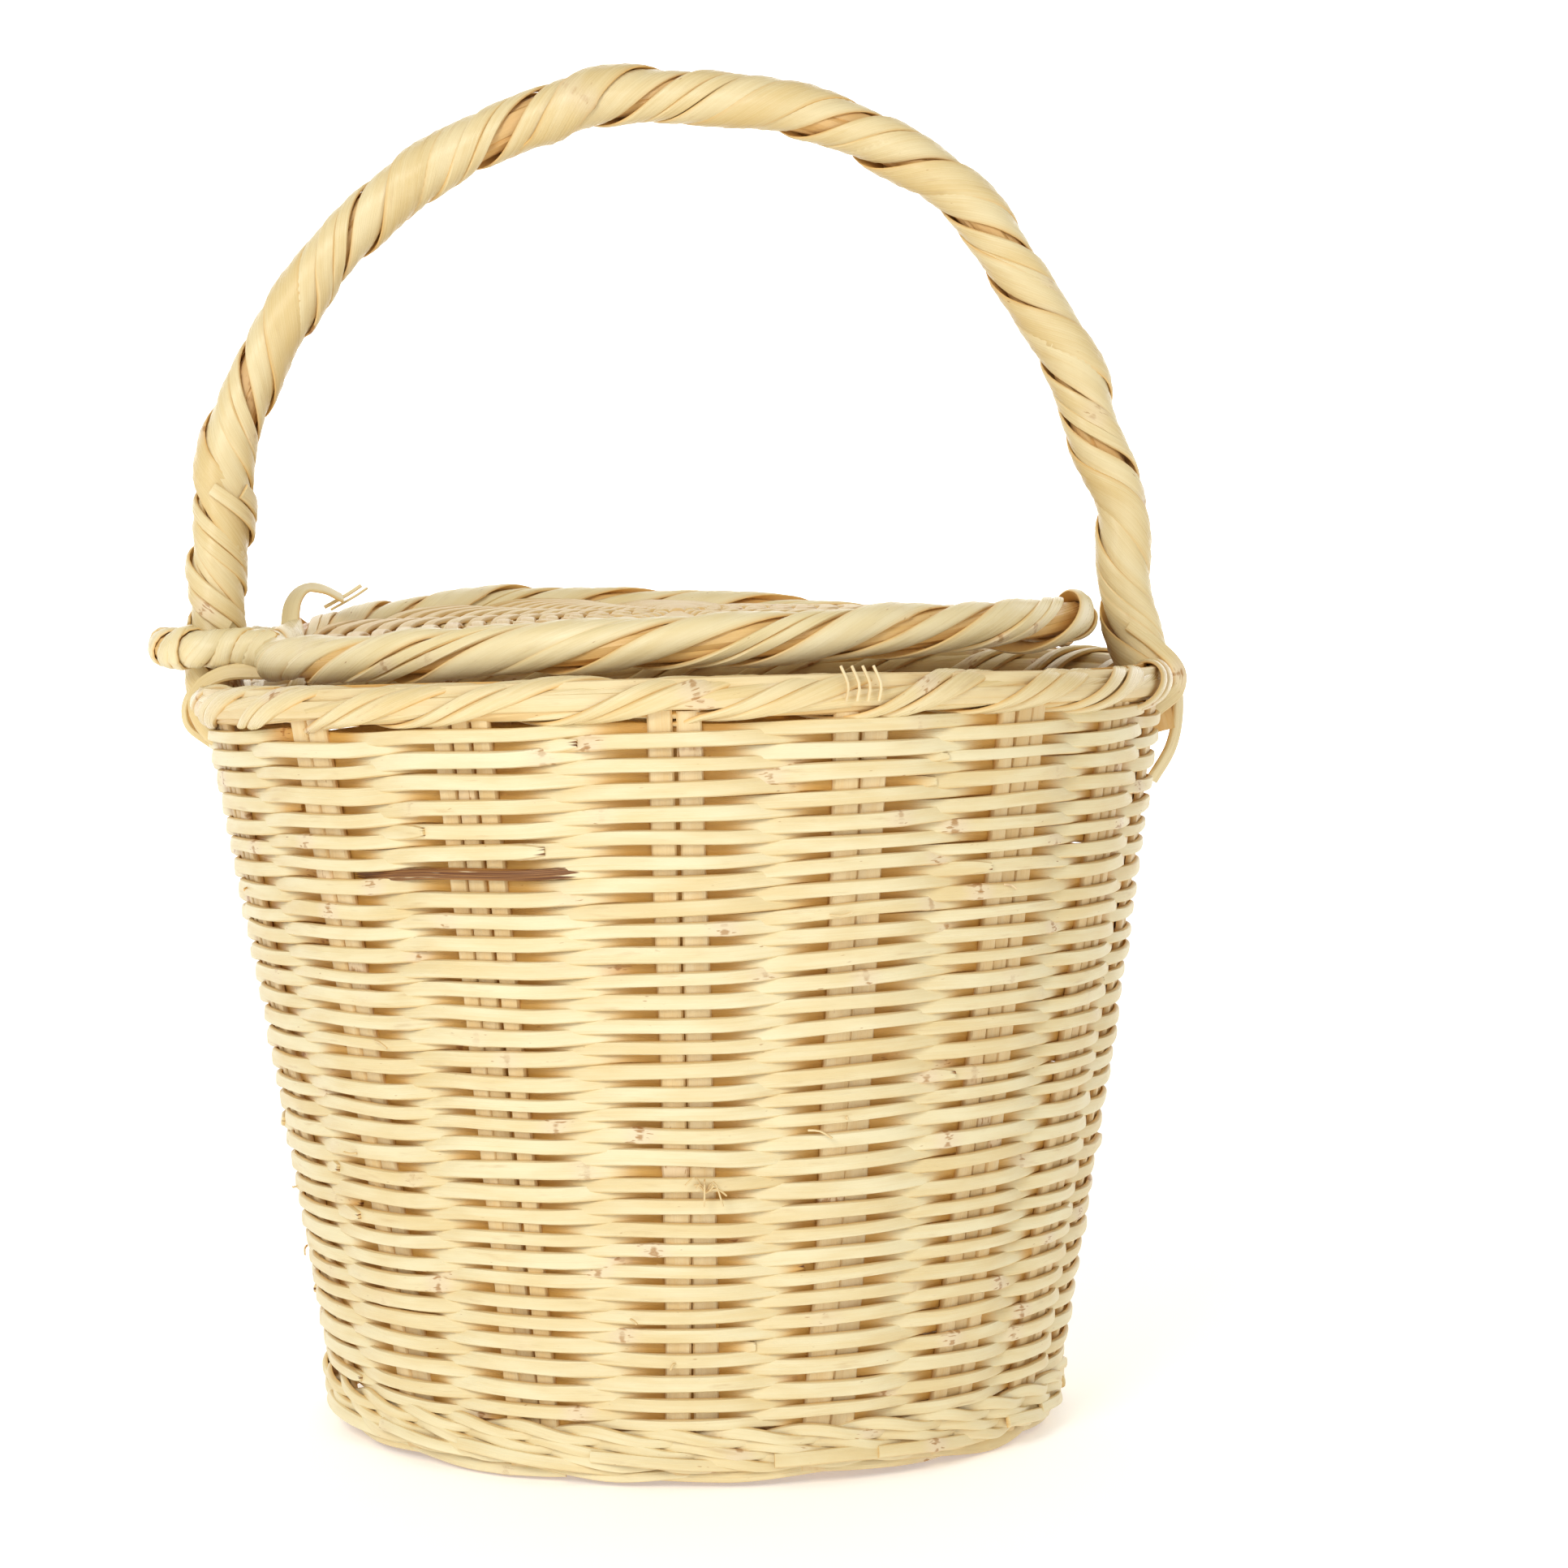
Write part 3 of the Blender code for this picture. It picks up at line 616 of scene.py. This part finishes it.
class Bundle:
    """A centreline with the directions out and up at each point, which strips wind round."""

    def __init__(self, line, out, up, half_out, half_up, closed, fullness=1.0):
        """half_out and half_up are its half thicknesses, and fullness scales both along it."""
        self.line = np.asarray(line, float)
        self.out = np.asarray(out, float)
        self.up = np.asarray(up, float)
        self.half_out = half_out
        self.half_up = half_up
        self.closed = closed
        self.fullness = np.broadcast_to(fullness, (len(self.line),))[:, None]
        ends = np.vstack([self.line, self.line[:1]]) if closed else self.line
        steps = np.linalg.norm(np.diff(ends, axis=0), axis=1)
        self.length = steps.sum()
        self.along = np.concatenate([[0], np.cumsum(steps)])

    def at(self, distance):
        """The centreline, the directions out and up, and the fullness at a distance along it."""
        place = distance % self.length if self.closed else np.clip(distance, 0, self.length)

        def sampled(values):
            if self.closed:
                values = np.vstack([values, values[:1]])
            columns = [np.interp(place, self.along, column) for column in values.T]
            return np.column_stack(columns)

        out = unit(sampled(self.out))
        up = unit(sampled(self.up))
        return sampled(self.line), out, up, sampled(self.fullness)[:, 0]

    def surface(self, distance, turn, lift):
        """Points on the bundle's surface at an angle turn from out towards up, and the way out."""
        centre, out, up, fullness = self.at(distance)
        cos, sin = np.cos(turn)[:, None], np.sin(turn)[:, None]
        half_out = (self.half_out * fullness + lift)[:, None]
        half_up = (self.half_up * fullness + lift)[:, None]
        points = centre + half_out * cos * out + half_up * sin * up
        return points, unit(half_up * cos * out + half_out * sin * up)

    def wind(
        self,
        work,
        lay,
        phase,
        first,
        last,
        width,
        thickness,
        parts=1,
        lift=0.0,
        wander=0.001,
        tilt=0.10,
        bumps=0.0,
        squeeze=0.0,
        **look,
    ):
        """Winds a strip made of parts narrower strips side by side. lay is its advance per turn.

        The winding runs from first to last along the bundle, and phase is its angle at first.
        wander is how far it strays from an even winding, tilt lifts one edge over its neighbour
        and bumps is how much it bulges here and there. squeeze narrows it where it passes below.
        Each strip curls across its width to hug the bundle.
        """
        girth = TAU * math.sqrt((self.half_out**2 + self.half_up**2) / 2)
        turn_length = math.hypot(girth, lay)
        slant = girth / turn_length
        count = max(int((last - first) * turn_length / abs(lay) / 0.0024), 6)
        distance = np.linspace(first, last, count, endpoint=not self.closed)
        ends = smoothstep(np.minimum(distance - first, last - distance) / 0.01)
        settle = ends if self.closed else np.ones(count)
        stray = wander * drift(count, 26) * settle
        bulge = bumps * smoothstep(1.6 * drift(count, 13) - 0.2)
        shares = random.uniform(0.7, 1.3, parts)
        shares = shares / shares.sum()
        even_turn = phase + TAU * (distance - first) / lay
        pinch = 1 - squeeze * (1 - np.sin(even_turn)) / 2
        place = -0.5
        for share in shares:
            shift = (place + share / 2) * width / slant * pinch
            place += share
            own_stray = 0.0004 * drift(count, 16) * settle
            turn = phase + TAU * (distance - first - shift - stray - own_stray) / lay
            crown = 0.0005 * (1 - abs(2 * (place - share / 2))) * (parts > 1)
            arc = width * share * abs(lay) / turn_length
            curl = arc**2 / (8 * (self.half_out + self.half_up) / 2)
            raised = (lift + crown + bulge + 0.0003 * drift(count, 12)) * settle - 0.7 * curl
            points, out = self.surface(distance, turn, raised)
            own_width = width * share * 1.05 * (1 + 0.07 * drift(count, 20)) * pinch
            tone = random.normal(0.1, 0.3) + 0.2 * drift(count, 50)
            twist = tilt * math.copysign(1, lay) / math.sqrt(parts) + 0.06 * drift(count, 30)
            dome = curl + 0.0003 * share
            work.strip(points, out, own_width, thickness, dome, twist, tone, **look)

    def fill(self, work, count, lay, width, thickness, warm):
        """Winds count equal strips, evenly spaced, along the whole bundle, with the given share of
        painted shade.
        """
        for k in range(count):
            self.wind(work, lay, k * TAU / count, 0, self.length, width, thickness, warm=warm)


def ring_bundle(centre, radius, half_out, half_up, axes=np.eye(3), rise=0.0, fullness=1.0):
    """A closed bundle round centre, in the plane that axes give, and raised by rise."""
    out = RING_OUT @ axes.T
    up = np.broadcast_to(axes[:, 2], out.shape)
    line = np.asarray(centre) + out * radius
    line[:, 2] += rise
    return Bundle(line, out, up, half_out, half_up, True, fullness)


def make_rim(hoops, binding):
    """Flat hoops inside and outside the wall's top, under a slack winding and a broad one."""
    lean = WALL_LEAN * (RIM_HEIGHT / WALL_HEIGHT) ** 2
    centre = (base.x + lean, base.y, RIM_HEIGHT)
    right, back = np.cos(RING_ANGLES), np.sin(RING_ANGLES)
    shift = level_shift(RING_ANGLES, RIM_HEIGHT)
    shift = shift + 0.0028 * smoothstep(right) * smoothstep(back + 0.3)
    # The radius, rise and height of each hoop.
    for radius, rise, height in (
        (0.1472, -0.0004, 0.0052),
        (0.1458, 0.0036, 0.0044),
        (0.1402, -0.0004, 0.0052),
        (0.1416, 0.0036, 0.0044),
    ):
        line = np.array(centre) + RING_OUT * radius
        line[:, 2] += shift + rise + 0.0004 * np.sin(3 * RING_ANGLES + radius * 900)
        facing = RING_OUT * (1 if radius > RIM_RADIUS else -1)
        # Painted shade on the hoops, which lie under the binding.
        hoops.strip(line, facing, height, 0.0018, 0.0006, tone=0.0, closed=True, warm=0.2)
    # The core's strips, inside the binding, get more painted shade.
    core = ring_bundle(centre, RIM_RADIUS, 0.0026, 0.0036, rise=shift)
    for phase in (0.5, 2.6, 4.7):
        core.wind(hoops, core.length / 3, phase, 0, core.length, 0.0050, 0.0016, warm=0.5)
    bundle = ring_bundle(centre, RIM_RADIUS, 0.0048, 0.0048, rise=shift)
    # How often each winding goes round the rim and round the bundle, and its strips.
    for circuits, turns, width, parts, lift, bumps in (
        (4, 17, 0.0048, 1, -0.0008, 0.0),
        (2, 23, 0.0096, 2, 0.0004, 0.0013),
    ):
        last = circuits * bundle.length
        bundle.wind(
            binding,
            lay=last / turns,
            phase=0.3,
            first=0,
            last=last,
            width=width,
            thickness=0.0010,
            parts=parts,
            lift=lift,
            wander=0.004,
            tilt=0.20,
            bumps=bumps,
            squeeze=0.35,
        )


def lid_axes():
    """The middle of the lid's hoop, and the lid's tilt: its front low and its free edge high."""
    low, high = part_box("lid_hoop")
    tilt_x, tilt_y = math.radians(1.5), math.radians(-1.3)
    cos_x, sin_x = math.cos(tilt_x), math.sin(tilt_x)
    cos_y, sin_y = math.cos(tilt_y), math.sin(tilt_y)
    about_x = np.array([[1, 0, 0], [0, cos_x, -sin_x], [0, sin_x, cos_x]])
    about_y = np.array([[cos_y, 0, sin_y], [0, 1, 0], [-sin_y, 0, cos_y]])
    return np.array((low + high) / 2), about_y @ about_x


def lid_warp(across, deep):
    """How far the lid bends away from its flat plane, from shares of its radius right and back."""
    bend = 0.0033 + 0.0024 * across - 0.0033 * across**2
    bend = bend - 0.0036 * smoothstep(across) * smoothstep(deep)
    return bend - (0.0055 + 0.0050 * deep) * across * deep


def disc_weave(work, centre, axes, outer, row_pitch, cane_width, swing, dish=0.0, warp=None):
    """Pairs of spokes that fan out from a crossing, with rings of cane woven round them.

    swing is how far the rings pass above and below the spokes, and dish is how high the middle
    stands above the edge.
    """

    def placed(radius, angle, height):
        radius, angle, height = np.broadcast_arrays(radius, angle, height)
        across, deep = radius * np.cos(angle), radius * np.sin(angle)
        if warp:
            height = height + warp(across / outer, deep / outer)
        flat = np.stack([across, deep, height], axis=-1)
        return np.asarray(centre) + flat @ axes.T

    up = axes[:, 2]
    radius = np.linspace(0.0, outer + 0.004, 30)
    for k in range(SPOKE_COUNT):
        angle = k * TAU / SPOKE_COUNT
        sideways = np.array([-math.sin(angle), math.cos(angle), 0]) @ axes.T
        for side in (-0.5, 0.5):
            spread = side * np.minimum(0.0044, 0.0006 + radius * 0.11)
            line = placed(radius, angle, dish * (1 - (radius / outer) ** 2) + 0.0002 * side)
            line = line + sideways * spread[:, None]
            work.strip(line, up, 0.0042, 0.0016, 0.0004, tone=random.normal(-0.2, 0.3))

    inner = 0.010
    steps = 10
    share = np.tile(np.arange(steps) / steps, SPOKE_COUNT)
    place = np.repeat(np.arange(SPOKE_COUNT), steps)
    angle = (place + share) * TAU / SPOKE_COUNT
    wave = np.cos(math.pi * smoothstep(share)) * np.where(place % 2 == 0, 1, -1)
    away_from_join = smoothstep(np.minimum(place, SPOKE_COUNT - 1 - place))
    for row in range(int((outer - inner) / row_pitch)):
        stray = 0.0004 * drift(len(angle), steps * 2.3) * away_from_join
        radius = inner + (row + 0.5) * row_pitch + stray
        over = wave * (1 if row % 2 else -1)
        line = placed(radius, angle, dish * (1 - (radius / outer) ** 2) + swing * over)
        width = cane_width * random.uniform(0.85, 1.15)
        # Painted shade on every ring, deeper where it passes under a spoke.
        hidden = 0.35 + 0.5 * smoothstep(-over)
        tone = random.normal(-0.2, 0.35)
        work.strip(line, up, width, 0.0012, 0.0003, tone=tone, warm=hidden, closed=True)


def make_lid(rope, weave):
    """The lid's edge, a core under four strips of different widths, and its round weave."""
    centre, axes = lid_axes()
    rise = lid_warp(np.cos(RING_ANGLES), np.sin(RING_ANGLES))
    fullness = 0.96 - 0.06 * np.cos(2 * RING_ANGLES) + 0.07 * np.cos(RING_ANGLES + math.pi / 3)
    half = LID_ROPE_HALF
    radius = (LID_RADIUS - 0.0014 * smoothstep(np.cos(RING_ANGLES)))[:, None]
    bundle = ring_bundle(centre, radius, half, half, axes, rise, fullness)
    core = ring_bundle(centre, radius, 0.68 * half, 0.68 * half, axes, rise, fullness)
    # The core under the strips gets painted shade.
    core.fill(rope, 4, core.length / 2, 0.0070, 0.0014, warm=0.7)
    # The width, parts, lift and bumps of each strip.
    strips = (
        (0.0078, 1, 0.0004, 0.0006),
        (0.0052, 1, 0.0, 0.0004),
        (0.0092, 1, 0.0008, 0.0012),
        (0.0060, 2, 0.0002, 0.0004),
    )
    for k, (width, parts, lift, bumps) in enumerate(strips):
        bundle.wind(
            rope,
            lay=bundle.length / 8,
            phase=k * TAU / len(strips),
            first=0,
            last=bundle.length,
            width=width,
            thickness=0.0010,
            parts=parts,
            lift=lift,
            wander=0.005,
            tilt=0.16,
            bumps=bumps,
        )
    disc_weave(
        weave,
        centre,
        axes,
        outer=LID_RADIUS - 0.003,
        row_pitch=0.0038,
        cane_width=0.0042,
        swing=0.0024,
        dish=0.0014,
        warp=lid_warp,
    )


def make_eye(rope):
    """The loop of rope from the lid round the handle's leg."""
    low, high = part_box("lid_eye")
    leg_x = low.x + 0.0225
    z = (low.z + high.z) / 2
    middle_y = (low.y + high.y) / 2
    points = [(leg_x + 0.019, middle_y - 0.0205)]
    for degrees in range(-75, -286, -30):
        angle = math.radians(degrees)
        points.append((leg_x + 0.0165 * math.cos(angle), middle_y + 0.0160 * math.sin(angle)))
    points.append((leg_x + 0.019, middle_y + 0.0205))
    flat = curve_through(points, 0.001)
    line = np.column_stack([flat, np.full(len(flat), z)])
    up = np.broadcast_to((0.0, 0.0, 1.0), line.shape)
    out = unit(np.cross(np.gradient(line, axis=0), up))
    bundle = Bundle(line, out, up, 0.0044, 0.0050, False)
    for k in range(3):
        phase = k * TAU / 3
        bundle.wind(rope, 0.018, phase, 0, bundle.length, 0.0058, 0.0009, lift=0.0003 * k)
    core = Bundle(line, out, up, 0.0030, 0.0036, False)
    # The core under the strips gets painted shade.
    core.fill(rope, 3, 0.30, 0.0066, 0.0014, warm=0.6)
    tie = bundle.length * 0.30
    bundle.wind(rope, 0.0042, 0, tie, tie + 0.0050, 0.0040, 0.0008, lift=0.0014, wander=0.0)


def make_handle(rods, binding):
    """Rods under four winding strips, with two more that thicken the left leg above the loop."""
    flat = curve_through(HANDLE_LINE, 0.002)
    line = np.column_stack([base.x + flat[:, 0], np.full(len(flat), base.y), flat[:, 1]])
    front = np.broadcast_to((0.0, -1.0, 0.0), line.shape)
    out = unit(np.cross(np.gradient(line, axis=0), front))
    fullness = 1 + 0.07 * drift(len(line), 14)
    core = Bundle(line, out, front, 0.0046, 0.0046, False, fullness)
    # The rods under the binding get painted shade.
    core.fill(rods, 5, 0.9, 0.0062, 0.0016, warm=0.6)
    bundle = Bundle(line, out, front, HANDLE_RADIUS, HANDLE_RADIUS, False, fullness)
    # The width, parts, lift and bumps of each strip.
    strips = (
        (0.0094, 1, 0.0, 0.0004),
        (0.0106, 1, 0.0007, 0.0016),
        (0.0082, 1, 0.0002, 0.0004),
        (0.0092, 2, 0.0004, 0.0012),
    )
    for k, (width, parts, lift, bumps) in enumerate(strips):
        bundle.wind(
            binding,
            lay=0.058,
            phase=k * TAU / len(strips),
            first=0.012,
            last=bundle.length - 0.012,
            width=width,
            thickness=0.0009,
            parts=parts,
            lift=lift,
            wander=0.004,
            bumps=bumps,
        )
    for phase, width in ((0.4, 0.0086), (3.4, 0.0074)):
        bundle.wind(binding, 0.036, phase, 0.032, 0.074, width, 0.0009, 2, 0.0014, bumps=0.0012)


def flat_strip(work, points, width, thickness, facing, **look):
    """A strip along a smooth line through points that are given beside the basket's axis."""
    line = curve_through(points, 0.0015) + np.array([base.x, base.y, 0])
    work.strip(line, np.array(facing, float), width, thickness, **look)


def make_roots(work):
    """The ends of the handle's strips, over the rim and down into the wall.

    Each row is the route in x and z, the depth y, the width, the thickness and the way it faces.
    """
    over_right = ((0.1330, 0.2430), (0.1415, 0.2365), (0.1478, 0.2300), (0.1482, 0.2230))
    over_right = (*over_right, (0.1410, 0.2165))
    tail = ((0.1420, 0.2330), (0.1478, 0.2265), (0.1490, 0.2160), (0.1470, 0.2050))
    tail = (*tail, (0.1410, 0.1945))
    over_left = ((-0.1270, 0.2290), (-0.1410, 0.2285), (-0.1495, 0.2240), (-0.1508, 0.2170))
    over_left = (*over_left, (-0.1465, 0.2100), (-0.1410, 0.2070))
    loop = ((-0.1480, 0.2270), (-0.1535, 0.2230), (-0.1560, 0.2170), (-0.1545, 0.2110))
    loop = (*loop, (-0.1480, 0.2060))
    for route, y, width, thickness, facing in (
        (over_right, -0.0075, 0.0050, 0.0011, (0.55, -0.8, 0.3)),
        (over_right, 0.0040, 0.0070, 0.0011, (1, 0.2, 0.3)),
        (tail, -0.0020, 0.0046, 0.0012, (0.75, -0.65, 0.1)),
        (tail, 0.0040, 0.0056, 0.0012, (1, 0.1, 0.1)),
        (over_left, -0.0200, 0.0052, 0.0011, (-0.5, -0.8, 0.3)),
        (loop, -0.0060, 0.0020, 0.0010, (-0.5, -0.8, 0.2)),
        (loop, 0.0030, 0.0060, 0.0011, (-1, -0.1, 0.2)),
    ):
        flat_strip(work, [(x, y, z) for x, z in route], width, thickness, facing)


def make_foot(work):
    """Three rows of twined pairs, and a hem of long strips that pass under the wall's edge."""
    spacing = TAU / GROUP_COUNT
    twined_steps = 408
    hem_steps = 60
    angle = np.arange(twined_steps) * TAU / twined_steps
    for row, z in enumerate((0.0150, 0.0112, 0.0074)):
        for half in (0, 1):
            phase = GROUP_COUNT * angle / 2 + half * math.pi / 2 + row * 1.1
            rise = 0.0015 * np.cos(2 * phase)
            offset = 0.0016 * np.sin(2 * phase) + 0.0018 - row * 0.0002
            line, out = wall_points(angle, z + rise, offset)
            width = 0.0032 * (1 + 0.15 * np.sin(2 * phase + 1))
            work.strip(line, out, width, 0.0013, 0.0004, -0.1, random.normal(0, 0.3), closed=True)
    share = np.linspace(0, 1, hem_steps)
    for group in groups:
        start = group + random.uniform(-0.08, 0.08)
        z = 0.0090 - 0.0057 * smoothstep(share * 1.3) + 0.0009 * drift(hem_steps, 14)
        bulge = 0.0016 * np.sin(3 * math.pi * share)
        offset = 0.0040 - 0.0062 * share + bulge
        line, out = wall_points(start + (share * 2.7 - 0.5) * spacing, z, offset)
        width = random.uniform(0.0032, 0.0044) * (1 - 0.3 * share**4)
        work.strip(line, out, width, 0.0012, 0.0004, -0.35, random.normal(0, 0.35))


def make_splinters(wall, lid):
    """Loose fibres: a tuft low on the front, split strands on the rim, ends that stand up."""
    tuft, out = wall_points(math.radians(-88.5), 0.087, 0.004)
    tuft = tuft - (base.x, base.y, 0)
    for k in range(7):
        reach = random.uniform(-0.006, 0.006)
        middle = tuft + (reach * 0.5, -0.0022, 0.001 + 0.0006 * k)
        tip = tuft + (reach, -0.0030, random.uniform(-0.004, 0.003))
        flat_strip(wall, [tuft, middle, tip], 0.0005, 0.0003, out, tone=-0.5)
    for k in range(4):
        x = 0.0415 + 0.0030 * k
        y = -math.sqrt(0.1495**2 - x**2)
        strand = [(x - 0.002, y, 0.2335), (x, y - 0.0012, 0.2285), (x - 0.0005, y, 0.2240)]
        flat_strip(wall, strand, 0.0008, 0.0004, (0.3, -1, 0), tone=0.5)
    for _ in range(26):
        angle = random.uniform(0, TAU)
        start, out = wall_points(angle, random.uniform(0.03, 0.205), 0.0030)
        start = start - (base.x, base.y, 0)
        along = np.array([-math.sin(angle), math.cos(angle), 0]) * random.uniform(-0.007, 0.007)
        sag = (0, 0, random.uniform(-0.002, 0.002))
        points = [start, start + along * 0.5 + out * 0.0012, start + along + out * 0.0016 + sag]
        flat_strip(wall, points, 0.0006, 0.0003, out, tone=-0.3)
    hook = [(-0.1275, 0.028, 0.2400), (-0.1268, 0.032, 0.2490), (-0.1235, 0.036, 0.2535)]
    hook = [*hook, (-0.1180, 0.038, 0.2535), (-0.1120, 0.041, 0.2505)]
    flat_strip(lid, hook, 0.0062, 0.0009, (-0.3, -0.5, 0.9), tone=-0.3)
    shred = [(-0.1180, 0.045, 0.2475), (-0.1110, 0.047, 0.2515), (-0.1065, 0.048, 0.2545)]
    flat_strip(lid, shred, 0.0012, 0.0004, (0, -1, 0.3))
    flat_strip(lid, [(x + 0.002, y, z - 0.0008) for x, y, z in shred], 0.0008, 0.0004, (0, -1, 0.3))


# ---------------------------------------------------------------- stage


def make_stage():
    """A white floor and backdrop, an even cream-tinted sky, and two soft lights from the front."""
    side = 4.0
    back = 2.5
    top = 3.0
    left_join, right_join = (-side, back, 0), (side, back, 0)
    floor_corners = [(-side, -side, 0), (side, -side, 0), right_join, left_join]
    wall_corners = [left_join, right_join, (side, back, top), (-side, back, top)]
    for name, corners, glow in (("floor", floor_corners, 0.35), ("backdrop", wall_corners, 1.0)):
        mesh = bpy.data.meshes.new(name)
        mesh.from_pydata(corners, [], [(0, 1, 2, 3)])
        plane = bpy.data.objects.new(name, mesh)
        bpy.context.scene.collection.objects.link(plane)
        paper = bpy.data.materials.new(name)
        paper.use_nodes = True
        shader = paper.node_tree.nodes["Principled BSDF"]
        shader.inputs["Base Color"].default_value = (0.95, 0.95, 0.95, 1.0)
        shader.inputs["Roughness"].default_value = 0.9
        shader.inputs["Emission Color"].default_value = (1.0, 1.0, 1.0, 1.0)
        shader.inputs["Emission Strength"].default_value = glow
        mesh.materials.append(paper)

    world = bpy.data.worlds.new("studio")
    world.use_nodes = True
    background = world.node_tree.nodes["Background"]
    background.inputs["Color"].default_value = (1.0, 0.94, 0.83, 1.0)
    background.inputs["Strength"].default_value = 0.52
    bpy.context.scene.world = world
    bpy.context.scene.view_settings.view_transform = "Standard"

    for name, place, size, power in (
        ("key", (-0.65, -1.7, 1.05), 0.7, 16),
        ("fill", (0.8, -1.9, 0.35), 1.2, 4),
    ):
        light = bpy.data.lights.new(name, "AREA")
        light.shape = "DISK"
        light.size = size
        light.energy = power
        light.color = (1.0, 1.0, 0.98)
        lamp = bpy.data.objects.new(name, light)
        lamp.location = place
        aim = Vector((0, 0, 0.18)) - lamp.location
        lamp.rotation_euler = aim.to_track_quat("-Z", "Y").to_euler()
        bpy.context.scene.collection.objects.link(lamp)


def make_camera():
    """A long lens straight in front of the basket and a little above its rim."""
    camera = bpy.data.cameras.new("camera")
    camera.lens = CAMERA_LENS
    camera.sensor_width = 36.0
    holder = bpy.data.objects.new("camera", camera)
    holder.location = (base.x, base.y - CAMERA_DISTANCE, CAMERA_HEIGHT)
    holder.rotation_euler = (math.pi / 2 - CAMERA_PITCH, 0, -CAMERA_YAW)
    bpy.context.scene.collection.objects.link(holder)
    bpy.context.scene.camera = holder


# ---------------------------------------------------------------- the whole basket


def nodes_named(*starts):
    """The CAD nodes whose names begin with any of starts."""
    return sorted(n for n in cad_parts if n.startswith(starts))


groups = group_angles()

weft = cane_material("woven_cane", (0.85, 0.77, 0.51, 1.0), (0.77, 0.62, 0.33, 1.0), 0.42)
bound = cane_material("binding_cane", (0.83, 0.71, 0.43, 1.0), (0.75, 0.58, 0.28, 1.0), 0.27)
edging = cane_material("edging_cane", (0.88, 0.78, 0.51, 1.0), (0.81, 0.67, 0.36, 1.0), 0.30)
upright = cane_material("upright_cane", (0.85, 0.72, 0.45, 1.0), (0.76, 0.57, 0.28, 1.0), 0.42)

stakes = Canework()
make_stakes(stakes)
lid_rope, lid_weave = Canework(), Canework()
make_splinters(stakes, lid_rope)
stakes.build("wall_stakes", upright, "basket", "straw_cane", nodes_named("stake_"))

weaves = [Canework() for _ in range(4)]
make_weave(weaves)
weaver_nodes = nodes_named("weaver_")
for number, weave in enumerate(weaves):
    own_nodes = weaver_nodes[number :: len(weaves)]
    weave.build(f"wall_weave_{number + 1}", weft, "basket", "pale_cane", own_nodes)

foot = Canework()
make_foot(foot)
foot.build("foot_plait", weft, "basket", "straw_cane", ["foot_border", "upsett_band"])

floor_weave = Canework()
disc_weave(
    floor_weave,
    centre=(base.x, base.y, BASE_WEAVE_HEIGHT),
    axes=np.eye(3),
    outer=0.104,
    row_pitch=0.0045,
    cane_width=0.0052,
    swing=0.0019,
)
floor_weave.build("base_weave", weft, "basket", "pale_cane", nodes_named("base_"))

rim_hoops, rim_binding = Canework(), Canework()
make_rim(rim_hoops, rim_binding)
rim_hoops.build("rim_hoops", weft, "basket", "pale_cane", nodes_named("rim_hoop"))
rim_binding.build("rim_binding", bound, "basket", "cream_cane", ["rim_lashing"])

handle_rods, handle_binding = Canework(), Canework()
make_handle(handle_rods, handle_binding)
handle_rods.build("handle_rods", upright, "basket", "straw_cane", ["handle_core"])
make_roots(handle_binding)
handle_nodes = nodes_named("handle_wrap", "handle_tail")
handle_binding.build("handle_binding", bound, "basket", "cream_cane", handle_nodes)

make_lid(lid_rope, lid_weave)
lid_rope.build("lid_rope", edging, "lid", "cream_cane", ["lid_hoop", "lid_lashing"])
lid_weave.build("lid_weave", weft, "lid", "pale_cane", nodes_named("lid_ring", "lid_stick"))

eye_rope = Canework()
make_eye(eye_rope)
eye_rope.build("eye_rope", edging, "lid_loop", "cream_cane", nodes_named("lid_eye", "eye_binding"))

make_stage()
make_camera()
